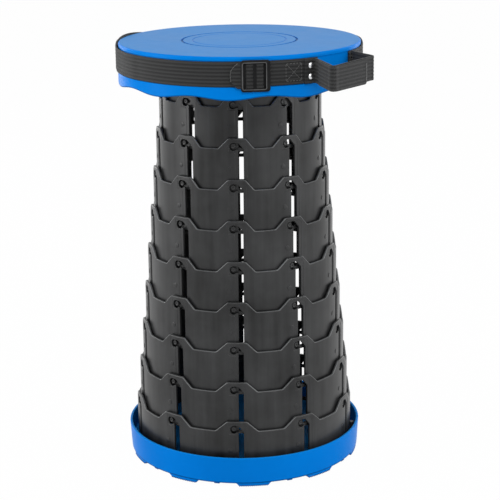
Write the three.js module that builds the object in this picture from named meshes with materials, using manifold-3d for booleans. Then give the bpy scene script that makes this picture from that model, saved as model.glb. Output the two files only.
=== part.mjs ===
// Collapsible telescopic stool: ten nested rings between a blue seat and a blue base tray,
// with a webbing strap and carrying loop round the seat.
// Millimetres, +Z up. The origin is on the floor, on the stool's axis. The front is -Y.
// Angles are in degrees, counted from -Y towards +X.

import * as THREE from 'three';
import { mergeVertices } from 'three/addons/utils/BufferGeometryUtils.js';
import Module from 'manifold-3d';

// Overall form
const ringCount = 10;
const unitCount = 10;
const seatGap = 0.3;
const cutOverrun = 1;

// Rings: ring 1 is the top and smallest one, fixed to the seat
const ringWall = 2.6;
const ringPlay = 1.4;
const firstRingRadius = 81.6;
const ringHeight = 56.2;

// How far a ring stays in the next one when open, and how far it stays above it when shut
const ringOverlap = 14.3;
const stopPlay = 0.4;

// Humped top edge of a ring, measured from the slot's centre line, on the upper and the lowest ring
const humpRise = 10.6;
const humpLeft = { upper: 12.6, lowest: 15 };
const humpRight = { upper: 4.4, lowest: 5.2 };
const humpFootLeft = { upper: 22.8, lowest: 27.6 };
const humpFootRight = { upper: 12.6, lowest: 15.4 };

// Slot with a locking notch at its upper left, and the pin that sits in the notch
const slotWidth = 4.6;
const pinRadius = 2.7;
const pinPlay = 0.3;
const pinFacets = 6;
const pinRoot = 0.5;
const pinBelowHumpTop = 8;
const notchOffset = 7.8;
const notchPlay = 0.6;
const notchCorner = 3.4;
const notchCornerDrop = 4.2;
const notchSteps = 3;
const guideDepth = 1.6;

// Base tray
const trayWall = 2.8;
const trayRimSpace = 9.1;
const trayTaper = 1.7;
const trayRimBevel = 0.6;
const trayFloorHeight = 12.7;
const trayFloorWall = 2.8;
const trayEdgeHeight = 3.8;
const trayFacets = 40;
const trayRibWall = 2.4;
const hubRadius = 16;
const padTopWidth = 38;
const padFootWidth = 31;
const padDepth = 8;
const padInset = 0.8;
const firstPadAngle = 4.2;

// Screws that hold the lowest ring to the tray and the top ring to the seat
const screwCount = 5;
const screwFacets = 6;
const screwRadius = 1.3;
const screwHeadRadius = 2.8;
const screwHeadHeight = 1.8;
const screwLength = 11;
const screwTipSpace = 1;
const bossWall = 1.4;
const baseScrewAngle = 16;
const baseBossOffset = 1.4;
const baseBossSpace = 2;
const seatScrewAngle = 16;
const seatBossInset = 8;
const seatBossRadius = 5;
const flangeWall = 2.4;
const flangeDrop = 12;
const flangeReach = 14;

// Seat
const seatPlateWall = 3.4;
const foldedPlay = 0.7;
const seatDepth = 43;
const seatFacets = 40;
const skirtSpace = 9.6;
const lipInset = 0.8;
const lipBevel = 1.2;
const skirtWall = 4.2;
const skirtWave = 3.7;
const skirtLobeAngle = -4.9;
const skirtShutGap = 1.1;
const topGrooveRadius = 61;
const topGrooveWidth = 2.6;
const topGrooveDepth = 0.8;
const topGrooveBevel = 0.4;
const seatRibWall = 2;
const seatRibDepth = 9;
const seatRibInner = 14;
const seatRibOuter = 58;

// Strap of flat webbing in the groove round the seat
const webbingWidth = 25;
const webbingThickness = 1.8;
const grooveDepth = 1.9;
const grooveDrop = 4.2;
const strapFrontAngle = 37;
const strapRearAngle = 60;

// Free end of the strap and the slide adjuster
const tailStartAngle = -6.8;
const tailEndAngle = -1.5;
const adjusterAngle = 6.3;
const adjusterWidth = 31.5;
const adjusterHeight = 31.5;
const adjusterThickness = 2.6;
const adjusterDrop = 1.6;
const adjusterBar = 3.2;
const adjusterCorner = 3;
const adjusterCornerSteps = 1;

// Carrying loop: it lies on the strap at both ends and stands out between them
const loopFrontAngle = 29.5;
const loopRearAngle = 67;
const loopSteps = 40;
const loopFlatAngle = 2;
const loopCrease = { angle: 36.2, reach: 5.6 };
const loopCorner = { angle: 31.6, reach: 39.6 };
const loopTip = { angle: 56.6, reach: 28.6 };
const loopReturn = { angle: 60.6, reach: 6.6 };

// Rivets through the webbing and the seat's wall
const frontRivetAngle = 32.6;
const rearRivetAngle = 64.2;
const rivetSpacing = 10.8;
const rivetFacets = 6;
const rivetHeadRadius = 2.9;
const rivetHeadHeight = 1.5;
const rivetShankRadius = 1.4;
const rivetTailRadius = 2.4;
const rivetTailHeight = 0.8;
const rivetShoulderShare = 0.75;

// Sizes that follow from the ones above
const ringStep = ringWall + ringPlay;
const stageRise = ringHeight - ringOverlap;
const foldTravel = stageRise - stopPlay;
const ringBottom = (ring) => trayFloorHeight + seatGap + (ringCount - ring) * stageRise;
const ringRadius = (ring) => firstRingRadius + (ring - 1) * ringStep;
const unitAngle = 360 / unitCount;
const pinHeight = ringOverlap - pinBelowHumpTop;
const guideEnd = pinHeight + stopPlay - pinRadius - pinPlay;
const notchReach = pinRadius + notchPlay;
const seatTop = ringBottom(2) + ringHeight + foldTravel + foldedPlay + seatPlateWall;
const trayHeight = seatTop - seatDepth - (ringCount - 1) * foldTravel - skirtShutGap;
const trayRimRadius = ringRadius(ringCount) + trayRimSpace;
const trayFootRadius = trayRimRadius - trayTaper;
const skirtRadius = ringRadius(ringCount) + skirtSpace;
const lipRadius = skirtRadius - lipInset;
const grooveRadius = skirtRadius - grooveDepth;
const grooveWidth = webbingWidth + 2 * seatGap;
const strapMiddle = seatTop - grooveDrop - grooveWidth / 2;
const strapInner = grooveRadius + seatGap;
const strapOuter = strapInner + webbingThickness;
const adjusterBack = strapOuter + seatGap;
const seatWallInner = skirtRadius - skirtWall;
const seatScrewRadius = ringRadius(1) - ringWall - seatBossInset;
const seatBossBottom = ringBottom(1) + ringHeight - flangeDrop + seatGap - seatTop;
const seatScrewSeat = seatBossBottom - seatGap - flangeWall - seatGap;
const seatScrewTip = seatScrewSeat + screwLength + screwTipSpace;
const baseScrewRadius = ringRadius(ringCount) + baseBossOffset;
const baseBossHeight = screwLength - trayFloorWall - seatGap + screwTipSpace + baseBossSpace;

// How closely a point of a panel matches its side, and the axis that panels are turned round
const sideMatch = 0.001;
const upwards = new THREE.Vector3(0, 0, 1);

const wasm = await Module();
wasm.setup();

const radians = THREE.MathUtils.degToRad;

function solidOf(geometry) {
  const plain = geometry.clone();
  plain.deleteAttribute('normal');
  plain.deleteAttribute('uv');
  const merged = mergeVertices(plain);
  const corners = merged.index.array;
  const kept = [];
  for (let i = 0; i < corners.length; i += 3) {
    const [a, b, c] = [corners[i], corners[i + 1], corners[i + 2]];
    if (a !== b && b !== c && c !== a) kept.push(a, b, c);
  }
  return new wasm.Manifold(new wasm.Mesh({
    numProp: 3,
    vertProperties: new Float32Array(merged.attributes.position.array),
    triVerts: new Uint32Array(kept),
  }));
}

function geometryOf(solid) {
  const mesh = solid.getMesh();
  const geometry = new THREE.BufferGeometry();
  geometry.setAttribute('position', new THREE.BufferAttribute(mesh.vertProperties, 3));
  geometry.setIndex(new THREE.BufferAttribute(mesh.triVerts, 1));
  geometry.computeVertexNormals();
  return geometry;
}

// A profile of [radius, height] points turned round the Z axis
function turned(points, facets, startAngle = 0) {
  const outline = points.map(([radius, height]) => new THREE.Vector2(radius, height));
  const lathe = new THREE.LatheGeometry(outline, facets, radians(startAngle), 2 * Math.PI);
  return lathe.rotateX(Math.PI / 2);
}

// An outline seen from outside, x to the right and y up, pushed outwards from a radius
function pushedOut(outline, innerRadius, depth, angle, steps = 1) {
  const block = new THREE.ExtrudeGeometry(outline, { depth, bevelEnabled: false, curveSegments: steps });
  block.rotateX(Math.PI / 2);
  block.translate(0, -innerRadius, 0);
  return block.rotateZ(radians(angle));
}

// A plan outline pulled upwards
function pulledUp(outline, bottom, height) {
  const block = new THREE.ExtrudeGeometry(outline, { depth: height, bevelEnabled: false });
  return block.translate(0, 0, bottom);
}

// A point of the plan on a regular polygon with the given corner radius
function facetPoint(angle, cornerRadius, facets, startAngle) {
  const facetAngle = 360 / facets;
  const turn = THREE.MathUtils.euclideanModulo(angle - startAngle, facetAngle) - facetAngle / 2;
  const radius = cornerRadius * Math.cos(radians(facetAngle / 2)) / Math.cos(radians(turn));
  return planPoint(angle, radius);
}

function planPoint(angle, radius) {
  return new THREE.Vector2(radius * Math.sin(radians(angle)), -radius * Math.cos(radians(angle)));
}

function eachUnit(count, firstAngle, make) {
  const tools = [];
  for (let i = 0; i < count; i += 1) tools.push(make(firstAngle + i * 360 / count));
  return tools;
}

function joined(solid, geometries) {
  return geometries.reduce((sum, geometry) => sum.add(solidOf(geometry)), solid);
}

function cut(solid, geometries) {
  return geometries.reduce((rest, geometry) => rest.subtract(solidOf(geometry)), solid);
}

// A size that grows evenly from the second ring to the lowest one
function graded(size, ring) {
  return THREE.MathUtils.lerp(size.upper, size.lowest, (ring - 2) / (ringCount - 2));
}

// Angles of a ring's corners in one unit: the hump between the first two, the low edge between the others
function cornerAngles(ring) {
  const lengths = [-graded(humpLeft, ring), graded(humpRight, ring), graded(humpFootRight, ring)];
  const angles = lengths.map((length) => THREE.MathUtils.radToDeg(length / ringRadius(ring)));
  return [...angles, unitAngle - THREE.MathUtils.radToDeg(graded(humpFootLeft, ring) / ringRadius(ring))];
}

// The flat that carries the slot: its middle angle, and the share of the radius that it lies at
function slotFlat(ring) {
  const [left, right] = cornerAngles(ring);
  return { middle: (left + right) / 2, share: Math.cos(radians((right - left) / 2)) };
}

// Distance of the slot's centre line from the middle of its flat
function slotOffset(ring) {
  const flat = slotFlat(ring);
  return ringRadius(ring) * flat.share * Math.tan(radians(-flat.middle));
}

// Everything on the slot's flat is drawn with the middle of the flat at angle zero
function slotPanel(ring) {
  const flat = slotFlat(ring);
  const inner = (ringRadius(ring) - ringWall) * flat.share;
  const halfWidth = ringRadius(ring) * Math.sqrt(1 - flat.share ** 2);
  const sheet = new THREE.Shape(cornersOf(-halfWidth, halfWidth, 0, ringHeight));
  const blank = solidOf(pushedOut(sheet, inner, ringWall * flat.share, 0));
  if (ring === 1) return cut(blank, [slotCutter(ring)]).add(solidOf(pin(ring)));
  const open = cut(blank, [guideCutter(ring), windowCutter(ring)]);
  return ring === ringCount ? open : open.add(solidOf(pin(ring)));
}

function cornersOf(left, right, bottom, top) {
  const corners = [[left, bottom], [right, bottom], [right, top], [left, top]];
  return corners.map(([x, y]) => new THREE.Vector2(x, y));
}

// The see-through slot with the locking notch at its upper left
function windowCutter(ring) {
  const middle = slotOffset(ring);
  const right = middle + slotWidth / 2;
  const left = middle - slotWidth / 2;
  const pinLevel = ringHeight - pinBelowHumpTop;
  const outline = new THREE.Shape();
  outline.moveTo(right, guideEnd);
  outline.lineTo(right, pinLevel + notchReach - notchCornerDrop);
  outline.lineTo(right - notchCorner, pinLevel + notchReach);
  for (let i = 0; i <= notchSteps; i += 1) {
    const turn = Math.PI * (1 / 2 + i / notchSteps);
    const across = middle - notchOffset + notchReach * Math.cos(turn);
    outline.lineTo(across, pinLevel + notchReach * Math.sin(turn));
  }
  outline.lineTo(left, pinLevel - notchReach);
  outline.lineTo(left, guideEnd);
  return throughRing(outline, ring);
}

// The top ring has the slot only, because nothing locks into it
function slotCutter(ring) {
  const middle = slotOffset(ring);
  const [left, right] = [middle - slotWidth / 2, middle + slotWidth / 2];
  const top = ringHeight - flangeDrop - flangeWall - slotWidth;
  return throughRing(new THREE.Shape(cornersOf(left, right, guideEnd, top)), ring);
}

function throughRing(outline, ring) {
  const inner = (ringRadius(ring) - ringWall) * slotFlat(ring).share - cutOverrun;
  return pushedOut(outline, inner, ringWall + 2 * cutOverrun, 0);
}

// Blind groove in the inner face below the notch, in which the smaller ring's pin runs down
function guideCutter(ring) {
  const inner = (ringRadius(ring) - ringWall) * slotFlat(ring).share;
  const middle = slotOffset(ring) - notchOffset;
  const reach = pinRadius + pinPlay;
  const top = ringHeight - pinBelowHumpTop;
  const outline = new THREE.Shape(cornersOf(middle - reach, middle + reach, guideEnd, top));
  return pushedOut(outline, inner - cutOverrun, cutOverrun + guideDepth, 0);
}

// Pin near a ring's lower edge, for the notch and the guide groove of the next larger ring
function pin(ring) {
  const root = ringRadius(ring) * slotFlat(ring).share - pinRoot;
  const tip = (ringRadius(ring + 1) - ringWall) * slotFlat(ring + 1).share + guideDepth - pinPlay;
  const outline = new THREE.Shape(eachUnit(pinFacets, 0, (angle) => planPoint(angle, pinRadius)));
  const round = pushedOut(outline, root, tip - root, 0);
  round.translate(slotOffset(ring + 1) - notchOffset, 0, pinHeight);
  return round.rotateZ(radians(slotFlat(ring + 1).middle - slotFlat(ring).middle));
}

// A ring: ten slot panels bent round the axis, with slopes and low edges between their humps
function ringBody(ring) {
  const panel = slotPanel(ring).getMesh();
  const flat = slotFlat(ring);
  const corners = cornerAngles(ring);
  const outer = ringRadius(ring);
  const inner = outer - ringWall;
  const halfWidth = outer * Math.sqrt(1 - flat.share ** 2);
  const low = ring === 1 ? ringHeight : ringHeight - humpRise;
  const tops = [ringHeight, ringHeight, low, low, ringHeight];
  const places = [];
  const addTriangle = (...points) => points.forEach((point) => places.push(point.x, point.y, point.z));
  const addQuad = (a, b, c, d) => {
    addTriangle(a, b, c);
    addTriangle(a, c, d);
  };
  const isAt = (index, side) => Math.abs(panel.vertProperties[3 * index] - side * halfWidth) < sideMatch;
  const bent = (index, start) => {
    const [x, y, z] = panel.vertProperties.subarray(3 * index, 3 * index + 3);
    if (isAt(index, -1) || isAt(index, 1)) {
      const onOutside = -y > (outer - ringWall / 2) * flat.share;
      const plan = planPoint(start + corners[x < 0 ? 0 : 1], onOutside ? outer : inner);
      return new THREE.Vector3(plan.x, plan.y, z);
    }
    return new THREE.Vector3(x, y, z).applyAxisAngle(upwards, radians(start + flat.middle));
  };
  for (let unit = 0; unit < unitCount; unit += 1) {
    const start = unit * unitAngle;
    for (let i = 0; i < panel.triVerts.length; i += 3) {
      const triangle = [...panel.triVerts.subarray(i, i + 3)];
      const isEnd = [-1, 1].some((side) => triangle.every((index) => isAt(index, side)));
      if (!isEnd) {
        addTriangle(...triangle.map((index) => bent(index, start)));
      }
    }
    const edges = [...corners, corners[0] + unitAngle];
    for (let side = 1; side < edges.length - 1; side += 1) {
      const at = (i, radius, height) => {
        const plan = planPoint(start + edges[i], radius);
        return new THREE.Vector3(plan.x, plan.y, height);
      };
      const corner = [side, side + 1].map((i) => ({
        outerFoot: at(i, outer, 0),
        outerTop: at(i, outer, tops[i]),
        innerFoot: at(i, inner, 0),
        innerTop: at(i, inner, tops[i]),
      }));
      const [first, next] = corner;
      addQuad(first.outerFoot, next.outerFoot, next.outerTop, first.outerTop);
      addQuad(first.innerFoot, first.innerTop, next.innerTop, next.innerFoot);
      addQuad(first.innerFoot, next.innerFoot, next.outerFoot, first.outerFoot);
      addQuad(first.innerTop, first.outerTop, next.outerTop, next.innerTop);
    }
  }
  const geometry = new THREE.BufferGeometry();
  geometry.setAttribute('position', new THREE.Float32BufferAttribute(places, 3));
  return solidOf(geometry);
}

// The top ring ends flat under the seat and carries an inward flange for the seat's screws
function topRing() {
  const inner = ringRadius(1) - ringWall;
  const bottom = ringHeight - flangeDrop - flangeWall;
  const plan = (radius) => eachUnit(unitCount, 0, (start) => (
    cornerAngles(1).map((angle) => planPoint(start + angle, radius))
  )).flat();
  const outline = new THREE.Shape(plan(inner + ringWall / 2));
  outline.holes.push(new THREE.Path(plan(inner - flangeReach)));
  const holes = eachUnit(screwCount, seatScrewAngle, (angle) => (
    post(angle, seatScrewRadius, screwRadius + seatGap, bottom - cutOverrun, bottom + flangeWall + cutOverrun)
  ));
  return cut(joined(ringBody(1), [pulledUp(outline, bottom, flangeWall)]), holes);
}

// Upright round bar at an angle and a radius from the axis
function post(angle, centreRadius, radius, bottom, top) {
  const plan = new THREE.Shape(eachUnit(screwFacets, 0, (corner) => planPoint(corner, radius)));
  const bar = pulledUp(plan, bottom, top - bottom);
  bar.translate(0, -centreRadius, 0);
  return bar.rotateZ(radians(angle));
}

// The lowest ring has bosses on its outside, inside the tray's rim, for the base screws
function lowestRing() {
  const blindTop = baseBossHeight - baseBossSpace;
  const bosses = eachUnit(screwCount, baseScrewAngle, (angle) => (
    post(angle, baseScrewRadius, screwRadius + seatGap + bossWall, 0, baseBossHeight)
  ));
  const holes = eachUnit(screwCount, baseScrewAngle, (angle) => (
    post(angle, baseScrewRadius, screwRadius + seatGap, -cutOverrun, blindTop)
  ));
  return cut(joined(ringBody(ringCount), bosses), holes);
}

// Pan-head screw standing on its head, with its shank up
function screw(angle, centreRadius, headTop) {
  const profile = [
    [0, -screwHeadHeight],
    [screwHeadRadius, -screwHeadHeight],
    [screwHeadRadius, 0],
    [screwRadius, 0],
    [screwRadius, screwLength],
    [0, screwLength],
  ];
  const body = turned(profile, screwFacets);
  body.translate(0, -centreRadius, headTop);
  return body.rotateZ(radians(angle));
}

function baseTray() {
  const floorBottom = trayFloorHeight - trayFloorWall;
  const slope = (trayRimRadius - trayFootRadius) / (trayHeight - trayEdgeHeight);
  const outerAt = (height) => trayFootRadius + slope * (height - trayEdgeHeight);
  const profile = [
    [0, 0],
    [hubRadius, 0],
    [hubRadius, floorBottom],
    [outerAt(floorBottom) - trayWall, floorBottom],
    [outerAt(trayEdgeHeight) - trayWall, trayEdgeHeight],
    [outerAt(trayEdgeHeight), trayEdgeHeight],
    [outerAt(trayHeight - trayRimBevel), trayHeight - trayRimBevel],
    [trayRimRadius - trayRimBevel, trayHeight],
    [trayRimRadius - trayWall, trayHeight],
    [outerAt(trayFloorHeight) - trayWall, trayFloorHeight],
    [0, trayFloorHeight],
  ];
  const ribTop = floorBottom + trayFloorWall / 2;
  const ribInner = hubRadius - trayRibWall;
  const ribOuter = trayFootRadius - trayWall / 2 - padInset;
  const ribOutline = new THREE.Shape([
    new THREE.Vector2(-trayRibWall / 2, trayEdgeHeight),
    new THREE.Vector2(trayRibWall / 2, trayEdgeHeight),
    new THREE.Vector2(trayRibWall / 2, ribTop),
    new THREE.Vector2(-trayRibWall / 2, ribTop),
  ]);
  const padRadius = trayFootRadius * Math.cos(Math.PI / trayFacets) - padInset;
  const padOutline = new THREE.Shape([
    new THREE.Vector2(-padFootWidth / 2, 0),
    new THREE.Vector2(padFootWidth / 2, 0),
    new THREE.Vector2(padTopWidth / 2, trayEdgeHeight),
    new THREE.Vector2(padFootWidth / 2, floorBottom + trayFloorWall / 2),
    new THREE.Vector2(-padFootWidth / 2, floorBottom + trayFloorWall / 2),
    new THREE.Vector2(-padTopWidth / 2, trayEdgeHeight),
  ]);
  const ribAngle = firstPadAngle;
  const ribs = eachUnit(unitCount, ribAngle, (angle) => (
    pushedOut(ribOutline, ribInner, ribOuter - padDepth - ribInner, angle)
  ));
  const pads = eachUnit(unitCount, firstPadAngle, (angle) => (
    pushedOut(padOutline, padRadius - padDepth, padDepth, angle)
  ));
  const holeEnds = [floorBottom - cutOverrun, trayFloorHeight + cutOverrun];
  const holes = eachUnit(screwCount, baseScrewAngle, (angle) => (
    post(angle, baseScrewRadius, screwRadius + seatGap, ...holeEnds)
  ));
  return cut(joined(solidOf(turned(profile, trayFacets)), [...ribs, ...pads]), holes);
}

// The seat is drawn with its top at height zero
function seatCover() {
  const wavy = (angle) => skirtWave * (1 - Math.cos(radians((angle - skirtLobeAngle) * unitCount))) / 2;
  const grooveBottom = -grooveDrop - grooveWidth;
  const profile = [
    [0, -seatPlateWall],
    [seatWallInner, -seatPlateWall],
    [seatWallInner, -seatDepth],
    [skirtRadius, -seatDepth],
    [skirtRadius, grooveBottom],
    [grooveRadius, grooveBottom],
    [grooveRadius, -grooveDrop],
    [lipRadius, -grooveDrop],
    [lipRadius, -lipBevel],
    [lipRadius - lipBevel, 0],
    [topGrooveRadius, 0],
    [topGrooveRadius - topGrooveBevel, -topGrooveDepth],
    [topGrooveRadius - topGrooveWidth + topGrooveBevel, -topGrooveDepth],
    [topGrooveRadius - topGrooveWidth, 0],
    [0, 0],
  ];
  const shell = turned(profile, seatFacets, skirtLobeAngle);
  const places = shell.attributes.position;
  for (let i = 0; i < places.count; i += 1) {
    const [x, y, z] = [places.getX(i), places.getY(i), places.getZ(i)];
    const angle = THREE.MathUtils.radToDeg(Math.atan2(x, -y));
    if (z < grooveBottom - seatGap) places.setZ(i, z + wavy(angle));
  }
  const inPlate = -seatPlateWall / 2;
  const bosses = eachUnit(screwCount, seatScrewAngle, (angle) => (
    post(angle, seatScrewRadius, seatBossRadius, seatBossBottom, inPlate)
  ));
  const ribOutline = new THREE.Shape([
    new THREE.Vector2(-seatRibWall / 2, -seatPlateWall - seatRibDepth),
    new THREE.Vector2(seatRibWall / 2, -seatPlateWall - seatRibDepth),
    new THREE.Vector2(seatRibWall / 2, inPlate),
    new THREE.Vector2(-seatRibWall / 2, inPlate),
  ]);
  const ribs = eachUnit(unitCount, seatScrewAngle, (angle) => (
    pushedOut(ribOutline, seatRibInner, seatRibOuter - seatRibInner, angle)
  ));
  const holes = eachUnit(screwCount, seatScrewAngle, (angle) => (
    post(angle, seatScrewRadius, screwRadius + seatGap, seatBossBottom - cutOverrun, seatScrewTip)
  ));
  const rivetHoles = [frontRivetAngle, rearRivetAngle].flatMap((angle) => rivetBores(angle));
  const whole = joined(solidOf(shell), [...bosses, ...ribs]);
  return cut(whole, [...holes, ...rivetHoles.map((bore) => bore.translate(0, 0, -seatTop))]);
}

// Bores for a pair of rivets, through the webbing and the seat's wall
function rivetBores(angle) {
  const length = strapOuter - seatWallInner + webbingThickness + 4 * cutOverrun;
  const start = seatWallInner - 2 * cutOverrun;
  return [-rivetSpacing / 2, rivetSpacing / 2].map((rise) => {
    const round = eachUnit(rivetFacets, 0, (corner) => planPoint(corner, rivetShankRadius + seatGap));
    const bore = pushedOut(new THREE.Shape(round), start, length, 0);
    bore.translate(0, 0, strapMiddle + rise);
    return bore.rotateZ(radians(angle));
  });
}

// Domed rivet lying on its side, head outwards, set over inside the seat's wall
function rivet(angle, rise) {
  const wallFlat = seatWallInner * Math.cos(Math.PI / seatFacets);
  const tailBottom = wallFlat - seatGap - rivetTailHeight;
  const headBottom = strapOuter + webbingThickness + 2 * seatGap;
  const profile = [
    [0, tailBottom],
    [rivetTailRadius, tailBottom],
    [rivetTailRadius, tailBottom + rivetTailHeight],
    [rivetShankRadius, tailBottom + rivetTailHeight],
    [rivetShankRadius, headBottom],
    [rivetHeadRadius, headBottom],
    [rivetHeadRadius * rivetShoulderShare, headBottom + rivetHeadHeight * rivetShoulderShare],
    [0, headBottom + rivetHeadHeight],
  ];
  const body = turned(profile, rivetFacets);
  body.rotateX(Math.PI / 2);
  body.translate(0, 0, strapMiddle + rise);
  return body.rotateZ(radians(angle));
}

// Flat webbing standing on edge along a list of plan points, half its thickness to each side
function ribbon(path) {
  const outer = [];
  const inner = [];
  path.forEach((point, i) => {
    const before = path[Math.max(i - 1, 0)];
    const after = path[Math.min(i + 1, path.length - 1)];
    const along = after.clone().sub(before).normalize();
    const side = new THREE.Vector2(along.y, -along.x).multiplyScalar(webbingThickness / 2);
    outer.push(point.clone().add(side));
    inner.push(point.clone().sub(side));
  });
  const outline = new THREE.Shape([...outer, ...inner.reverse()]);
  return pulledUp(outline, strapMiddle - webbingWidth / 2, webbingWidth);
}

// Part of the ring of webbing that lies on the seat's facets
function webbingArc(fromAngle, toAngle, innerRadius, outerRadius) {
  const facetAngle = 360 / seatFacets;
  const angles = [fromAngle];
  let corner = skirtLobeAngle + facetAngle * Math.ceil((fromAngle - skirtLobeAngle) / facetAngle);
  for (; corner < toAngle; corner += facetAngle) {
    if (corner > fromAngle) angles.push(corner);
  }
  angles.push(toAngle);
  const side = (radius) => angles.map((angle) => facetPoint(angle, radius, seatFacets, skirtLobeAngle));
  const outline = new THREE.Shape([...side(outerRadius), ...side(innerRadius).reverse()]);
  return pulledUp(outline, strapMiddle - webbingWidth / 2, webbingWidth);
}

// The strap runs from the rear of the carrying loop round the back and the left to the front
function strapBand() {
  const arc = webbingArc(strapRearAngle, 360 + strapFrontAngle, strapInner, strapOuter);
  return cut(solidOf(arc), [frontRivetAngle, rearRivetAngle].flatMap((angle) => rivetBores(angle)));
}

function strapTail() {
  const inner = strapOuter + seatGap;
  return webbingArc(tailStartAngle, tailEndAngle, inner, inner + webbingThickness);
}

function loopWebbing() {
  const lie = strapOuter + seatGap + webbingThickness / 2;
  const stops = [
    planPoint(loopFrontAngle, lie),
    planPoint(frontRivetAngle, lie),
    planPoint(frontRivetAngle + loopFlatAngle, lie),
    ...[loopCrease, loopCorner, loopTip, loopReturn].map((bend) => planPoint(bend.angle, strapOuter + bend.reach)),
    planPoint(rearRivetAngle - loopFlatAngle, lie),
    planPoint(rearRivetAngle, lie),
    planPoint(loopRearAngle, lie),
  ];
  const curve = new THREE.CatmullRomCurve3(
    stops.map((stop) => new THREE.Vector3(stop.x, stop.y, 0)), false, 'centripetal',
  );
  const path = curve.getSpacedPoints(loopSteps).map((point) => new THREE.Vector2(point.x, point.y));
  return cut(solidOf(ribbon(path)), [frontRivetAngle, rearRivetAngle].flatMap((angle) => rivetBores(angle)));
}

function roundedBox(width, height, corner) {
  const [right, top] = [width / 2, height / 2];
  const outline = new THREE.Shape();
  outline.absarc(right - corner, top - corner, corner, 0, Math.PI / 2, false);
  outline.absarc(corner - right, top - corner, corner, Math.PI / 2, Math.PI, false);
  outline.absarc(corner - right, corner - top, corner, Math.PI, 3 * Math.PI / 2, false);
  outline.absarc(right - corner, corner - top, corner, 3 * Math.PI / 2, 2 * Math.PI, false);
  return outline;
}

// Slide adjuster: a rounded frame with a middle bar
function slideAdjuster() {
  const outline = roundedBox(adjusterWidth, adjusterHeight, adjusterCorner);
  const openWidth = (adjusterWidth - 3 * adjusterBar) / 2;
  const openHeight = adjusterHeight - 2 * adjusterBar;
  const placed = (shape, start, depth) => {
    const block = pushedOut(shape, start, depth, 0, adjusterCornerSteps);
    block.translate(0, 0, strapMiddle - adjusterDrop);
    return block.rotateZ(radians(adjusterAngle));
  };
  const windows = [-1, 1].map((side) => {
    const middle = side * (openWidth + adjusterBar) / 2;
    const [left, right] = [middle - openWidth / 2, middle + openWidth / 2];
    const opening = new THREE.Shape(cornersOf(left, right, -openHeight / 2, openHeight / 2));
    return placed(opening, adjusterBack - cutOverrun, adjusterThickness + 2 * cutOverrun);
  });
  return cut(solidOf(placed(outline, adjusterBack, adjusterThickness)), windows);
}

const blackPlastic = { color: 0x2b2c2e, roughness: 0.5, metalness: 0 };
const bluePlastic = { color: 0x0a6fe0, roughness: 0.35, metalness: 0 };
const blackWebbing = { color: 0x242424, roughness: 0.9, metalness: 0 };
const blackGloss = { color: 0x1a1a1a, roughness: 0.4, metalness: 0 };
const brightSteel = { color: 0xc9ccd0, roughness: 0.25, metalness: 1 };

function part(name, shape, look) {
  const solid = shape.isBufferGeometry ? solidOf(shape) : shape;
  const mesh = new THREE.Mesh(geometryOf(solid), new THREE.MeshStandardMaterial(look));
  mesh.name = name;
  return mesh;
}

const stool = new THREE.Group();

stool.add(part('base_tray', baseTray(), bluePlastic));

const baseScrewSeat = trayFloorHeight - trayFloorWall - seatGap;
const baseScrews = eachUnit(screwCount, baseScrewAngle, (angle) => screw(angle, baseScrewRadius, baseScrewSeat));
baseScrews.forEach((shape, i) => stool.add(part(`base_screw_${i + 1}`, shape, brightSteel)));

for (let ring = ringCount; ring >= 1; ring -= 1) {
  let solid = null;
  if (ring === ringCount) solid = lowestRing();
  else if (ring === 1) solid = topRing();
  else solid = ringBody(ring);
  const mesh = part(`ring_${String(ring).padStart(2, '0')}`, solid, blackPlastic);
  mesh.position.z = ringBottom(ring);
  stool.add(mesh);
}

const seatGroup = new THREE.Group();
seatGroup.position.z = seatTop;
seatGroup.add(part('seat_cover', seatCover(), bluePlastic));
const seatScrews = eachUnit(screwCount, seatScrewAngle, (angle) => screw(angle, seatScrewRadius, seatScrewSeat));
seatScrews.forEach((shape, i) => seatGroup.add(part(`seat_screw_${i + 1}`, shape, brightSteel)));
stool.add(seatGroup);

stool.add(part('strap_band', strapBand(), blackWebbing));
stool.add(part('strap_tail', strapTail(), blackWebbing));
stool.add(part('slide_adjuster', slideAdjuster(), blackGloss));
stool.add(part('carry_loop', loopWebbing(), blackWebbing));
for (const [end, angle] of [['front', frontRivetAngle], ['rear', rearRivetAngle]]) {
  stool.add(part(`rivet_${end}_upper`, rivet(angle, rivetSpacing / 2), brightSteel));
  stool.add(part(`rivet_${end}_lower`, rivet(angle, -rivetSpacing / 2), brightSteel));
}

export default stool;
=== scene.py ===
import math

import bpy
import numpy as np
from mathutils import Matrix, Vector
from mathutils.geometry import delaunay_2d_cdt


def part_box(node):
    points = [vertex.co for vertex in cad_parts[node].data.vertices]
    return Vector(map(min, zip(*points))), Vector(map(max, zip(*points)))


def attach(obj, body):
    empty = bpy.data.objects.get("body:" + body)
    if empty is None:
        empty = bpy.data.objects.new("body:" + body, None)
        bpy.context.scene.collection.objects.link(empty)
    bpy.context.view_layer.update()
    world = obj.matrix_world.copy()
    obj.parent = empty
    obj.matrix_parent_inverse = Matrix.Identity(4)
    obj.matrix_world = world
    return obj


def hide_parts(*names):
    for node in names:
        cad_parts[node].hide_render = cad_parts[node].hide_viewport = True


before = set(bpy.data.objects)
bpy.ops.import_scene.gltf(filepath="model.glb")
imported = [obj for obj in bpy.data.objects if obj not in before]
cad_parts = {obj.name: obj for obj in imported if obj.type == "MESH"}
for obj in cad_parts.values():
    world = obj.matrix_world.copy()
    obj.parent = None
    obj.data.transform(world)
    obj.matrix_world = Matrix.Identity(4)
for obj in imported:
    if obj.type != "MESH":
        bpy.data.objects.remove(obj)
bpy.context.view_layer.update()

# Metres, +Z up, with the stool's axis on the origin. The front is -Y.
# Angles are in degrees, counted from -Y towards +X.

# Camera
CAMERA_PLACE = Vector((0, -1.622143, 0.669057))
CAMERA_PITCH = 15.414
CAMERA_YAW = 0.299
CAMERA_ROLL = -0.666
CAMERA_LENS = 111.936
SENSOR_WIDTH = 36

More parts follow.
